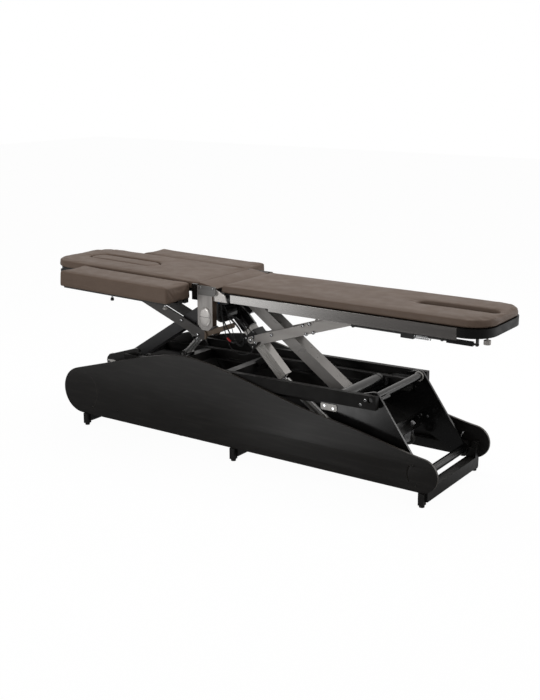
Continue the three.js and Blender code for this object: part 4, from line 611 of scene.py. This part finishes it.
# Castors: swivel forks pressed from zinc-plated sheet, each with a rubber-tyred wheel on a bolted axle.
zinc = finished("zinc plate", (0.58, 0.585, 0.59), (0.72, 0.72, 0.73), (0.3, 0.44), metallic=0.45, cloud=30)
rubber = finished("grey rubber", (0.045, 0.044, 0.042), (0.075, 0.073, 0.07), (0.6, 0.78), cloud=30,
                  grain=1500, depth=0.6)
hub_grey = finished("wheel hub", (0.16, 0.16, 0.158), (0.21, 0.208, 0.205), (0.4, 0.55))
dress(["castor_fork_near", "castor_fork_far"], zinc, 0.5 * mm)
wheel_x, wheel_z, wheel_y = 627.686 * mm, 131.94 * mm, 85 * mm
for label, side in sides:
    def wheel(shape, y=side * wheel_y):
        tread = [(9, -8.5), (19, -8.5), (19.6, -9.6), (22.6, -10.6), (24.4, -8.6), (25, -5), (25, 5), (24.4, 8.6),
                 (22.6, 10.6), (19.6, 9.6), (19, 8.5), (9, 8.5)]
        turned(shape, [(r * mm, h * mm) for r, h in tread + tread[:1]], 48, (wheel_x, y, wheel_z), (0, 1, 0))
        open_ends(shape)
        centre = [(4.3, -11.6), (8.6, -11.6), (9, -11), (9, 11), (8.6, 11.6), (4.3, 11.6), (4.3, -11.6)]
        turned(shape, [(r * mm, h * mm) for r, h in centre], 32, (wheel_x, y, wheel_z), (0, 1, 0), 1)
        open_ends(shape)
    mesh = mesh_from("wheel", wheel)
    smoothed(mesh, 40)
    tyre = new_piece("castor_tyre_" + label, mesh, [rubber, hub_grey])
    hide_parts("castor_wheel_" + label)
    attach(tyre, "wheel_" + label)
    fasten("axle_nuts_" + label, [((wheel_x, side * wheel_y + end * 15 * mm, wheel_z), (0, end, 0))
                                  for end in (-1, 1)], hex_head, 6 * mm, zinc, "castor_" + label)

# Head rocker and lift frame: black-coated steel. The long outer bars carry the C-shaped slide rails, and
# white pads are bolted to the brackets where the head leg's foot turns.
dress(["head_rocker", "slide_frame"], powder_black, 0.7 * mm)
bar_black = finished("matt bar coat", (0.004, 0.0036, 0.0032), (0.007, 0.0062, 0.0055), (0.44, 0.58), depth=0.25,
                     specular=0.22)
dress(["frame_bar_near", "frame_bar_far"], bar_black, 1.4 * mm)
frame_x, frame_z, frame_tilt = -690 * mm, 305 * mm, -1.02
frame_turn = Matrix.Translation((frame_x, 0, frame_z)) @ Matrix.Rotation(math.radians(frame_tilt), 4, "Y")
for label, side in sides:
    def pad(shape, y=side):
        outline = [(x, z) for x, z in arc(14, -2, 9, -90, 90, 8) + arc(-18, -2, 9, 90, 270, 8)]
        near_y, far_y = sorted((y * 188.3 * mm, y * 191.3 * mm))
        extruded(shape, [(x * mm, z * mm) for x, z in outline], near_y, far_y)
        bmesh.ops.transform(shape, matrix=frame_turn, verts=shape.verts)
    mesh = mesh_from("leg foot pad", pad)
    break_edges(mesh, 0.6 * mm)
    plate = new_piece("leg_foot_plate_" + label, mesh, [white_enamel])
    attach(plate, "lift_frame")
fasten("leg_foot_bolts", [(frame_turn @ Vector((dx, side * 191.3 * mm, -2 * mm)), (0, side, 0))
                          for _, side in sides for dx in (-16 * mm, 12 * mm)],
       hex_head, 6 * mm, chrome, "lift_frame")
bar_bolt_seat = 219.3 * mm
fasten("bar_bolts", [(frame_turn @ Vector((x * mm, side * bar_bolt_seat, z * mm)), (0, side, 0))
                     for _, side in sides for x, z in ((1268, 14), (1288, 34))],
       socket_head, 6.5 * mm, chrome, "lift_frame")

# Crossed legs: square steel tube, the head leg in dark grey and the foot leg in light grey gloss, with
# the foot leg standing on a black tube whose banded ends run in nylon shoes.
dark_grey = finished("dark grey enamel", (0.038, 0.038, 0.04), (0.055, 0.055, 0.057), (0.3, 0.42), cloud=12)
light_grey = finished("light grey enamel", (0.33, 0.315, 0.3), (0.42, 0.4, 0.385), (0.24, 0.36), cloud=7,
                      metallic=0.3, depth=0.06)
nylon = finished("grey nylon", (0.07, 0.07, 0.07), (0.1, 0.1, 0.1), (0.5, 0.65), grain=1200, depth=0.4)
dress(["head_leg"], dark_grey, 1.2 * mm)
dress(["foot_leg"], light_grey, 1.6 * mm)
dress(["foot_leg_tube"], gloss_black, 0.5 * mm)
dress(["slide_shoe_near", "slide_shoe_far"], nylon, 0.8 * mm)

# Centre column: a welded black hub with brushed steel side plates, blank name plates on two screws, oval
# pivot caps split across the middle and silver hinge wedges beside the pads.

def tinted_past(material, start, end, colour):
    """Blends a finish into another colour between two places along X."""
    tree = material.node_tree
    shader = next(n for n in tree.nodes if n.type == "BSDF_PRINCIPLED")
    across = tree.nodes.new("ShaderNodeSeparateXYZ")
    tree.links.new(tree.nodes.new("ShaderNodeTexCoord").outputs["Object"], across.inputs[0])
    blend = tree.nodes.new("ShaderNodeMix")
    blend.data_type = "RGBA"
    blend.inputs[7].default_value = (*colour, 1)
    tree.links.new(fade(tree, across.outputs["X"], start, end, 0.0, 1.0), blend.inputs[0])
    tree.links.new(shader.inputs["Base Color"].links[0].from_socket, blend.inputs[6])
    tree.links.new(blend.outputs[2], shader.inputs["Base Color"])


brushed = finished("upright brushed steel", (0.36, 0.342, 0.328), (0.48, 0.458, 0.44), (0.28, 0.42),
                   metallic=0.5, cloud=60, stretch=(1, 1, 0.04), grain=700, depth=0.12)
tinted_past(brushed, -0.12585, -0.12565, (0.085, 0.052, 0.032))
satin_plate = finished("satin plate", (0.19, 0.185, 0.18), (0.25, 0.244, 0.236), (0.34, 0.44), metallic=0.6,
                       cloud=50, stretch=(0.06, 1, 1))
cast_silver = finished("cast silver cap", (0.7, 0.67, 0.645), (0.82, 0.79, 0.76), (0.26, 0.36), metallic=0.4,
                       cloud=25, depth=0.08)
dress(["centre_hub"], gloss_black, 0.6 * mm)
dress(["column_plate_near", "column_plate_far"], brushed, 1.0 * mm)
dress(["label_plate_near", "label_plate_far"], satin_plate, 0.6 * mm)
dress(["hinge_wedge_near", "hinge_wedge_far"], cast_silver, 1.0 * mm)
cap_x, cap_z, cap_base, cap_rise = -160 * mm, 575 * mm, 200.3 * mm, 6 * mm
cap_half_width, cap_half_height = 27 * mm, 40 * mm
for label, side in sides:
    def oval_cap(shape, side=side):
        profile = [(1, 0), (1, 0.25), (0.97, 0.55), (0.9, 0.8), (0.78, 0.95), (0.6, 1.02), (0.3, 1.08), (0, 1.1)]
        turned(shape, [(r, h * cap_rise) for r, h in profile], 64, (0, 0, 0), (0, side, 0))
        for vert in shape.verts:
            vert.co.x = cap_x + vert.co.x * cap_half_width
            vert.co.z = cap_z + vert.co.z * cap_half_height
            vert.co.y = side * (cap_base + abs(vert.co.y))
    mesh = mesh_from("oval cap", oval_cap)
    smoothed(mesh, 50)
    cap = new_piece("oval_cap_" + label, mesh, [cast_silver])
    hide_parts("pivot_cap_" + label)
    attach(cap, "centre")

    def split_line(shape, side=side):
        near_y, far_y = sorted((side * (cap_base + 5.4 * mm), side * (cap_base + cap_rise + 0.7 * mm)))
        reach, half = cap_half_width - 0.6 * mm, 0.6 * mm
        extruded(shape, [(cap_x - reach, cap_z - half), (cap_x + reach, cap_z - half),
                         (cap_x + reach, cap_z + half), (cap_x - reach, cap_z + half)], near_y, far_y)
    seam = new_piece("cap_split_" + label, mesh_from("cap split", split_line), [black_screw])
    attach(seam, "centre")
fasten("plate_screws", [((x, side * 203 * mm, 695 * mm), (0, side, 0)) for _, side in sides
                        for x in (-182 * mm, -120 * mm)], socket_head, 3.4 * mm, chrome, "centre")

# Wiring: thin black leads hang in slack loops from the plugs under the near side box to the clip at the
# drive unit. The plugs are moulded, one with a blue latch, and one lead has a red joint sleeve.
cable_black = finished("cable sheath", (0.008, 0.008, 0.0085), (0.014, 0.014, 0.015), (0.4, 0.55), grain=1500)
plug_plastic = finished("plug housing", (0.02, 0.02, 0.021), (0.035, 0.035, 0.036), (0.4, 0.5))
blue_latch = finished("blue latch", (0.02, 0.09, 0.3), (0.03, 0.12, 0.38), (0.35, 0.45))
red_sleeve = finished("red sleeve", (0.42, 0.012, 0.012), (0.55, 0.02, 0.018), (0.35, 0.45))
leads = [
    (3.0, [(-119, -150, 637), (-119, -150, 622), (-110, -148, 560), (-62, -140, 480), (-40, -128, 456),
           (-34, -114, 470), (-46, -122, 520), (-88, -127, 561), (-122, -125, 574), (-140, -124.5, 577)]),
    (1.8, [(-113, -156, 630), (-108, -160, 590), (-92, -164, 530), (-80, -164, 492), (-50, -160, 474),
           (-30, -140, 484), (-40, -126, 520), (-80, -127, 560), (-118, -126, 580), (-140, -125, 581)]),
    (1.8, [(-125, -144, 630), (-124, -142, 580), (-108, -136, 500), (-84, -130, 440), (-36, -122, 418),
           (6, -106, 440), (0, -96, 500), (-40, -110, 548), (-90, -126, 572), (-136, -125, 573)]),
    (1.6, [(-111, -146, 628), (-92, -150, 600), (-64, -158, 548), (-40, -160, 486), (-16, -150, 470),
           (-4, -124, 496), (-30, -118, 540), (-80, -128, 576), (-132, -127, 584)]),
]

tube_sides = 10


def lead(shape, knots, radius, index=0):
    """A round tube along a smooth line, closed at both ends."""
    line = [Vector(p) * mm for p in smooth_line(knots, 7)]
    side_way = Vector((0, 1, 0))
    rings = []
    for i, point in enumerate(line):
        ahead = (line[min(i + 1, len(line) - 1)] - line[max(i - 1, 0)]).normalized()
        side_way = (side_way - ahead * side_way.dot(ahead)).normalized()
        other = ahead.cross(side_way)
        rings.append([shape.verts.new(point + radius * (math.cos(a) * side_way + math.sin(a) * other))
                      for a in (2 * math.pi * k / tube_sides for k in range(tube_sides))])
    for low, high in zip(rings, rings[1:]):
        for k in range(tube_sides):
            n = (k + 1) % tube_sides
            shape.faces.new((low[k], low[n], high[n], high[k])).material_index = index
    shape.faces.new(rings[0]).material_index = index
    shape.faces.new(rings[-1]).material_index = index


def box(shape, low, high, index=0):
    made = bmesh.ops.create_cube(shape, size=1)["verts"]
    centre = (Vector(low) + Vector(high)) / 2
    span = Vector(high) - Vector(low)
    for vert in made:
        vert.co = centre + Vector((vert.co.x * span.x, vert.co.y * span.y, vert.co.z * span.z))
    for face in {f for v in made for f in v.link_faces}:
        face.material_index = index


def wiring_shape(shape):
    for radius, knots in leads:
        lead(shape, knots, radius * mm)
    lead(shape, [(-79, -163.5, 491), (-70, -163.2, 484), (-61, -162, 479)], 4.2 * mm, index=3)
    lead(shape, [(-61, -162, 479), (-50, -160, 475), (-38, -151, 477)], 3.4 * mm, index=1)
    box(shape, Vector((-131, -159, 624.7)) * mm, Vector((-107, -141, 639.7)) * mm, 1)
    box(shape, Vector((-127, -160.2, 628)) * mm, Vector((-120, -159, 636)) * mm, 2)
    box(shape, Vector((-104, -158, 627)) * mm, Vector((-86, -142, 639.2)) * mm, 1)
    box(shape, Vector((-149, -129, 568)) * mm, Vector((-131, -120.3, 586)) * mm, 1)


mesh = mesh_from("wiring", wiring_shape)
smoothed(mesh, 45)
loom = new_piece("wiring_loom", mesh, [cable_black, plug_plastic, blue_latch, red_sleeve])
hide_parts("wiring")
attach(loom, "centre")

# Head section: a firm foam pad with a long face slot, a loose insert in the slot and a thin tapered flap
# over the hinge, all covered in taupe vinyl, on a black board and underframe with a dark lever.
vinyl = bpy.data.materials.new("taupe vinyl")
tree = new_tree(vinyl)
shader = tree.nodes.new("ShaderNodeBsdfPrincipled")
tree.links.new(shader.outputs[0], tree.nodes.new("ShaderNodeOutputMaterial").inputs[0])
shader.inputs["Specular IOR Level"].default_value = 0.22
pores = noise_field(tree, 620, kind="ShaderNodeTexVoronoi")
cells = spread(tree, pores, 0.0, 1.0)
patches = spread(tree, noise_field(tree, 5, 4.0), 0.0, 1.0)
tone = two_tone(tree, patches, (0.174, 0.124, 0.095), (0.199, 0.143, 0.11))
darker = tree.nodes.new("ShaderNodeMix")
darker.data_type = "RGBA"
darker.blend_type = "MULTIPLY"
darker.inputs[7].default_value = (0.86, 0.85, 0.84, 1)
tree.links.new(spread(tree, noise_field(tree, 380, 3.0), 0.0, 0.7), darker.inputs[0])
tree.links.new(tone, darker.inputs[6])
tree.links.new(darker.outputs[2], shader.inputs["Base Color"])
tree.links.new(spread(tree, noise_field(tree, 22, 5.0), 0.44, 0.58), shader.inputs["Roughness"])
slack = relief(tree, noise_field(tree, 14, 3.0), 0.0016, 0.22)
tree.links.new(relief(tree, cells, 0.0004, 0.35, slack), shader.inputs["Normal"])
hub_place = Vector((-126.302, 0, 670.091)) * mm
head_section_tilt = 0.95
head_turn = (Matrix.Translation(hub_place) @ Matrix.Rotation(math.radians(head_section_tilt), 4, "Y")
             @ Matrix.Translation(-hub_place))


def rounded(x0, x1, y0, y1, first_radius, last_radius, steps=14):
    corners = [(x1 - last_radius, y0 + last_radius, last_radius, -90), (x1 - last_radius, y1 - last_radius,
               last_radius, 0), (x0 + first_radius, y1 - first_radius, first_radius, 90),
               (x0 + first_radius, y0 + first_radius, first_radius, 180)]
    return [point for x, y, r, a in corners for point in arc(x, y, r, a, a + 90, steps)]


def foam(name, outlines, z0, z1, round_over):
    """A closed foam block with a rolled edge: its outlines lie in X and Y, holes after the outer one."""
    mesh = sheet(name, outlines, z1 - z0, round_over)
    mesh.transform(Matrix.Translation((0, 0, (z0 + z1) / 2)))
    return new_piece(name, mesh, [vinyl])


def upholster(pad, voxel, z0, swell):
    """Stretches the cover over the foam: the pad fills out against its seams and stays flat below."""
    remesh = pad.modifiers.new("even mesh", "REMESH")
    remesh.mode = "VOXEL"
    remesh.voxel_size = voxel
    plain_mesh(pad, pad.name)
    smooth = pad.modifiers.new("even", "SMOOTH")
    smooth.factor = 0.5
    smooth.iterations = 3
    plain_mesh(pad, pad.name)
    rest = [v.co.copy() for v in pad.data.vertices]
    held = pad.vertex_groups.new(name="held")
    held.add([v.index for v in pad.data.vertices if v.co.z < z0 + 1.5 * voxel], 1.0, "REPLACE")
    cloth = pad.modifiers.new("cover", "CLOTH")
    cloth.settings.vertex_group_mass = "held"
    cloth.settings.use_pressure = True
    cloth.settings.uniform_pressure_force = 4.0
    cloth.settings.effector_weights.gravity = 0
    cloth.settings.quality = 4
    cloth.collision_settings.use_self_collision = False
    cloth.point_cache.frame_start, cloth.point_cache.frame_end = 1, 20
    for step in range(1, 21):
        scene.frame_set(step)
    graph = bpy.context.evaluated_depsgraph_get()
    blown = bpy.data.meshes.new_from_object(pad.evaluated_get(graph))
    moved = [v.co.copy() for v in blown.vertices]
    pad.modifiers.clear()
    pad.vertex_groups.clear()
    bpy.data.meshes.remove(blown)
    for vert, start, end in zip(pad.data.vertices, rest, moved):
        away = end - start
        length = away.length
        if length > 1e-9:
            vert.co = start + away * (swell * math.tanh(length / swell) / length)
    scene.frame_set(1)
    for polygon in pad.data.polygons:
        polygon.use_smooth = True


def pucker(pad, lines, depth, width):
    """Presses creases into the cover along short lines."""
    segments = [(Vector(a) * mm, Vector(b) * mm) for a, b in lines]
    for vert in pad.data.vertices:
        for a, b in segments:
            if abs(vert.co.x - a.x) > 0.09 or abs(vert.co.y - a.y) > 0.09:
                continue
            along = max(0.0, min(1.0, (vert.co - a).dot(b - a) / (b - a).length_squared))
            gap = (vert.co - (a + (b - a) * along)).length
            if gap < 3 * width:
                fade = math.sin(math.pi * min(1.0, max(0.0, along * 0.8 + 0.1)))
                vert.co -= vert.normal * depth * fade * math.exp(-((gap / width) ** 2))


def cover_pad(pad, body, stands_for, turn=None, finer=True):
    if turn is not None:
        pad.data.transform(turn)
    if finer:
        finer_mesh = pad.modifiers.new("finer", "SUBSURF")
        finer_mesh.levels = finer_mesh.render_levels = 1
        plain_mesh(pad, pad.name)
    for polygon in pad.data.polygons:
        polygon.use_smooth = True
    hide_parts(stands_for)
    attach(pad, body)


pad_bottom, pad_top = 677 * mm, 711 * mm
slot_outline = rounded(-957 * mm, -574 * mm, -50 * mm, 50 * mm, 49.9 * mm, 49.9 * mm, 20)
head_pad = foam("head_cushion", [rounded(-1046 * mm, -207.5 * mm, -182.5 * mm, 182.5 * mm, 97 * mm, 11 * mm),
                                 slot_outline], pad_bottom + 0.4 * mm, pad_top - 2.2 * mm, 6 * mm)
upholster(head_pad, 6 * mm, pad_bottom, 3.2 * mm)
pucker(head_pad, [((-965, -20, 709), (-985, -34, 709)), ((-966, 8, 709), (-990, 12, 709)),
                  ((-566, -12, 709), (-545, -20, 709)), ((-567, 10, 709), (-548, 20, 709))], 1.6 * mm, 5 * mm)
cover_pad(head_pad, "head_section", "head_pad", head_turn)
insert = foam("slot_insert", [rounded(-953 * mm, -578 * mm, -46 * mm, 46 * mm, 45.9 * mm, 45.9 * mm, 20)],
              pad_bottom + 0.4 * mm, pad_top - 3.4 * mm, 8 * mm)
upholster(insert, 5 * mm, pad_bottom, 2.4 * mm)
pucker(insert, [((-948, -6, 708), (-924, -3, 708)), ((-946, 14, 708), (-926, 9, 708)),
                ((-583, 4, 708), (-604, 2, 708))], 1.4 * mm, 4 * mm)
cover_pad(insert, "insert", "face_insert", head_turn)


def flap_shape(shape):
    top, under = pad_top - 1.5 * mm, 694 * mm - 1.5 * mm
    outline = [(-204.6 * mm, pad_bottom), (-160 * mm, under), (-113.2 * mm, under),
               (-112.8 * mm, under + 3.5 * mm), (-160 * mm, 703.6 * mm), (-204.6 * mm, top)]
    extruded(shape, outline, -184.3 * mm, 184.3 * mm)


mesh = mesh_from("end flap", flap_shape)
break_edges(mesh, 1.6 * mm, 3, 12)
flap = new_piece("end_flap", mesh, [vinyl])
cover_pad(flap, "head_section", "head_end_flap", head_turn, finer=False)
dress(["head_underframe"], powder_black, 0.6 * mm)
lever_grey = finished("grey lever plate", (0.08, 0.075, 0.071), (0.11, 0.104, 0.099), (0.34, 0.46), cloud=14)
tinted_past(lever_grey, -0.287, -0.283, (0.2, 0.145, 0.1))
dress(["head_lever"], lever_grey, 0.8 * mm)
lever_bolts = [(head_turn @ Vector((x * mm, side * 50 * mm, z * mm)), (0, side, 0)) for _, side in sides
               for x, z in ((-404, 495), (-315, 445))]
fasten("head_lever_bolts", [(p + Vector(d) * 4 * mm, d) for p, d in lever_bolts], socket_head, 7.5 * mm, chrome,
       "head_section")

# Arm pads: thick foam slabs in the same vinyl, folded like a parcel at the corners, on black drop trays
# hinged below the head pad, with clamp knobs and two strap catches under the foot-side end.
pale_knob = finished("pale knob", (0.38, 0.36, 0.34), (0.5, 0.475, 0.45), (0.3, 0.42), metallic=0.4, cloud=40)
handle_black = finished("handle black", (0.012, 0.012, 0.012), (0.02, 0.02, 0.02), (0.35, 0.5), grain=1300)
knob_places = ((-267, 1), (-550, 2))
knob_out, knob_seat = 324 * mm, 631.7 * mm
for label, side in sides:
    y_low, y_high = sorted((side * 190.5 * mm, side * 345 * mm))
    arm = foam("arm_cushion_" + label, [rounded(-833 * mm, -243 * mm, y_low, y_high, 9 * mm, 9 * mm, 6)],
               638.4 * mm, 703.8 * mm, 5 * mm)
    upholster(arm, 5 * mm, 638 * mm, 2.6 * mm)
    corner_y = side * 345
    inner_y = side * 190
    pucker(arm, [((-243, corner_y - side * 4, 700), (-243, corner_y - side * 46, 652)),
                 ((-243, inner_y + side * 5, 699), (-243, inner_y + side * 40, 655)),
                 ((-243, corner_y - side * 60, 642), (-243, inner_y + side * 60, 642)),
                 ((-833, corner_y - side * 4, 700), (-833, corner_y - side * 46, 652)),
                 ((-833, inner_y + side * 5, 699), (-833, inner_y + side * 40, 655))], 2.4 * mm, 4.5 * mm)
    cover_pad(arm, "arm_" + label, "arm_pad_" + label, head_turn)
    dress(["arm_tray_" + label], powder_black, 0.5 * mm)

    def catches(shape, side=side):
        for near_edge in (206, 246):
            y0, y1 = sorted((side * near_edge * mm, side * (near_edge + 26) * mm))
            box(shape, (-262.5 * mm, y0, 624.5 * mm), (-244 * mm, y1, 632.4 * mm))
            box(shape, (-245.4 * mm, y0, 624.5 * mm), (-241.6 * mm, y1, 641 * mm))
    mesh = mesh_from("strap catch", catches)
    break_edges(mesh, 0.9 * mm)
    mesh.transform(head_turn)
    catch = new_piece("strap_catches_" + label, mesh, [handle_black])
    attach(catch, "arm_" + label)
    for x, number in knob_places:
        def knob(shape, x=x, side=side, number=number):
            stem = [(0, -8), (4, -8), (4, 0), (0, 0)]
            ball = [(0, -21), (4.5, -20.6), (7.4, -18.8), (9, -15.6), (9, -13.2), (7.8, -9.8), (5.2, -7.6),
                    (0, -7.2)]
            grip = [(0, -21), (6, -21), (7.2, -20), (7.6, -17), (7, -12), (5, -8), (0, -7.4)]
            place = (x * mm, side * knob_out, knob_seat)
            turned(shape, [(r * mm, h * mm) for r, h in stem], 20, place, (0, 0, 1), 1)
            turned(shape, [(r * mm, h * mm) for r, h in (ball if number == 1 else grip)], 28, place, (0, 0, 1))
        mesh = mesh_from("knob", knob)
        mesh.transform(head_turn)
        smoothed(mesh, 50)
        piece = new_piece(f"clamp_knob_{label}_{number}", mesh,
                          [pale_knob if number == 1 else handle_black, chrome])
        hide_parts(f"arm_knob_{label}_{number}")
        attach(piece, f"knob_{label}_{number}")

# Foot section: a long foam pad with a strap slot, on a black board with a moulded end cap. Anodised rails
# run along both sides, and silver lever plates drop from the underframe to the tilt drive.
anodised = finished("anodised aluminium", (0.56, 0.545, 0.535), (0.66, 0.645, 0.63), (0.22, 0.32),
                    metallic=0.9, cloud=9, stretch=(0.02, 1, 1), grain=600, depth=0.03)
# Painted shade: the rails' colour darkens towards the foot end and stands in for the darker reflection there.
tinted_past(anodised, -0.05, 0.6, (0.2, 0.188, 0.18))
lever_silver = finished("milled lever plate", (0.46, 0.435, 0.415), (0.56, 0.535, 0.51), (0.32, 0.44),
                        metallic=0.3, cloud=26, stretch=(0.1, 1, 1), grain=600, depth=0.06)
cap_black = finished("moulded end cap", (0.0045, 0.0042, 0.004), (0.007, 0.0065, 0.006), (0.42, 0.56),
                     grain=1300, depth=0.3, specular=0.2)
strap_slot = rounded(689 * mm, 1014 * mm, -27 * mm, 27 * mm, 26.9 * mm, 26.9 * mm, 16)
foot_pad = foam("foot_cushion", [rounded(-101.5 * mm, 1046 * mm, -178.5 * mm, 178.5 * mm, 11 * mm, 97 * mm),
                                 strap_slot], pad_bottom + 0.4 * mm, pad_top - 2.2 * mm, 6 * mm)
upholster(foot_pad, 6.5 * mm, pad_bottom, 3.2 * mm)
pucker(foot_pad, [((681, -8, 709), (655, -16, 709)), ((681, 6, 709), (660, 14, 709)),
                  ((1022, 0, 709), (1036, 4, 709))], 1.8 * mm, 5 * mm)
cover_pad(foot_pad, "foot_top", "foot_pad")
dress(["foot_board"], cap_black, 1.2 * mm)
dress(["foot_side_rail_near", "foot_side_rail_far"], anodised, 0.9 * mm)
dress(["foot_underframe"], powder_black, 0.6 * mm)
dress(["foot_lever"], lever_silver, 0.8 * mm)
fasten("foot_lever_bolts", [((x * mm, side * 54 * mm, z * mm), (0, side, 0)) for _, side in sides
                            for x, z in ((62, 501), (212, 561), (243, 571), (229, 527), (262, 538))],
       socket_head, 7.2 * mm, chrome, "foot_section")
fasten("lever_nose_bolts", [((x * mm, side * 50.4 * mm, z * mm), (0, side, 0)) for _, side in sides
                            for x, z in ((-44.9, 462.9), (-30, 478), (-22, 455))],
       dome_head, 8 * mm, chrome, "foot_section")

# Foot-end release: a black rod under the near edge with its lock block, a bright coil spring, a bar
# handle and a pale clamp knob below the end cap.
dress(["release_rod"], powder_black, 0.6 * mm)
dress(["release_handle"], gloss_black, 1.2 * mm)
dress(["end_knob"], pale_knob, 1.4 * mm)


def coil_tree():
    """A round wire wound along +X: turns, coil radius, wire radius and length are its inputs."""
    tree = bpy.data.node_groups.new("wound wire", "GeometryNodeTree")
    tree.interface.new_socket("Geometry", in_out="OUTPUT", socket_type="NodeSocketGeometry")
    for name, kind in (("Geometry", "NodeSocketGeometry"), ("Turns", "NodeSocketFloat"),
                       ("Coil radius", "NodeSocketFloat"), ("Wire radius", "NodeSocketFloat"),
                       ("Length", "NodeSocketFloat"), ("Finish", "NodeSocketMaterial")):
        tree.interface.new_socket(name, in_out="INPUT", socket_type=kind)
    start, end = tree.nodes.new("NodeGroupInput"), tree.nodes.new("NodeGroupOutput")
    spiral = tree.nodes.new("GeometryNodeCurveSpiral")
    spiral.inputs["Resolution"].default_value = 24
    ring = tree.nodes.new("GeometryNodeCurvePrimitiveCircle")
    ring.inputs["Resolution"].default_value = 10
    tube = tree.nodes.new("GeometryNodeCurveToMesh")
    tube.inputs["Fill Caps"].default_value = True
    real = tree.nodes.new("GeometryNodeRealizeInstances")
    smooth = tree.nodes.new("GeometryNodeSetShadeSmooth")
    painted = tree.nodes.new("GeometryNodeSetMaterial")
    tree.links.new(start.outputs["Turns"], spiral.inputs["Rotations"])
    tree.links.new(start.outputs["Coil radius"], spiral.inputs["Start Radius"])
    tree.links.new(start.outputs["Coil radius"], spiral.inputs["End Radius"])
    tree.links.new(start.outputs["Length"], spiral.inputs["Height"])
    tree.links.new(start.outputs["Wire radius"], ring.inputs["Radius"])
    tree.links.new(spiral.outputs[0], tube.inputs["Curve"])
    tree.links.new(ring.outputs[0], tube.inputs["Profile Curve"])
    tree.links.new(tube.outputs[0], real.inputs[0])
    tree.links.new(real.outputs[0], smooth.inputs["Geometry"])
    tree.links.new(smooth.outputs[0], painted.inputs["Geometry"])
    tree.links.new(start.outputs["Finish"], painted.inputs["Material"])
    tree.links.new(painted.outputs[0], end.inputs[0])
    return tree


winding = coil_tree()
spring_x, spring_y, spring_z = 759.2 * mm, -150 * mm, 619 * mm
spring = bpy.data.objects.new("coil_spring", bpy.data.meshes.new("coil_spring"))
scene.collection.objects.link(spring)
modifier = spring.modifiers.new("winding", "NODES")
modifier.node_group = winding
sockets = {s.name: s.identifier for s in winding.interface.items_tree if s.in_out == "INPUT"}
for socket, value in (("Turns", 8.0), ("Coil radius", 11 * mm), ("Wire radius", 1.8 * mm),
                      ("Length", 58.9 * mm), ("Finish", chrome)):
    modifier[sockets[socket]] = value
plain_mesh(spring, "coil_spring")
spring.data.transform(Matrix.Translation((spring_x, spring_y, spring_z))
                      @ Matrix.Rotation(math.radians(90), 4, "Y"))
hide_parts("lock_spring")
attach(spring, "foot_top")

# Foot-tilt drive: a black moulded motor on a grooved aluminium profile, with a black carriage that rides
# along it and pins that turn in the foot lever.
ribbed = finished("extruded profile", (0.72, 0.695, 0.665), (0.82, 0.79, 0.76), (0.26, 0.36), metallic=0.25,
                  cloud=12, grain=900, depth=0.03)
motor_black = finished("motor housing", (0.006, 0.006, 0.007), (0.01, 0.01, 0.0115), (0.12, 0.22), grain=500,
                       depth=0.1, coat=0.3)
dress(["foot_unit_motor"], motor_black, 0.5 * mm)
dress(["foot_unit_profile"], ribbed, 0.4 * mm)
dress(["foot_unit_carriage"], powder_black, 0.8 * mm)
unit_x, unit_z, unit_lean = -157 * mm, 577 * mm, 45.5
unit = Matrix.Translation((unit_x, 0, unit_z)) @ Matrix.Rotation(math.radians(unit_lean), 4, "Y")
fasten("carriage_screws", [(unit @ Vector((x * mm, side * 33.3 * mm, z * mm)), unit.to_3x3() @ Vector((0, side, 0)))
                           for _, side in sides for x, z in ((136, -24), (136, 24), (184, -24), (184, 24))],
       socket_head, 4.5 * mm, chrome, "tilt_carriage")
fasten("profile_end_screws", [(unit @ Vector((360 * mm, y * mm, z * mm)), unit.to_3x3() @ Vector((1, 0, 0)))
                              for y in (-13, 13) for z in (-13, 13)],
       socket_head, 4 * mm, black_screw, "tilt_unit")

# Lift actuators: bright rods that run out of their barrels, the upper pair between the frame and the head
# leg, the lower one from the base beam to the frame.
actuator_silver = finished("drawn barrel", (0.5, 0.5, 0.49), (0.6, 0.595, 0.585), (0.26, 0.36), metallic=0.85,
                           cloud=20)
dress(["upper_actuator_barrel"], actuator_silver, 0.5 * mm)
dress(["upper_actuator_rod", "lower_actuator_rod"], chrome, 0.4 * mm)
dress(["lower_actuator_barrel"], actuator_silver, 0.5 * mm)

for template in (socket_head, dome_head, hex_head):
    bpy.data.objects.remove(template)
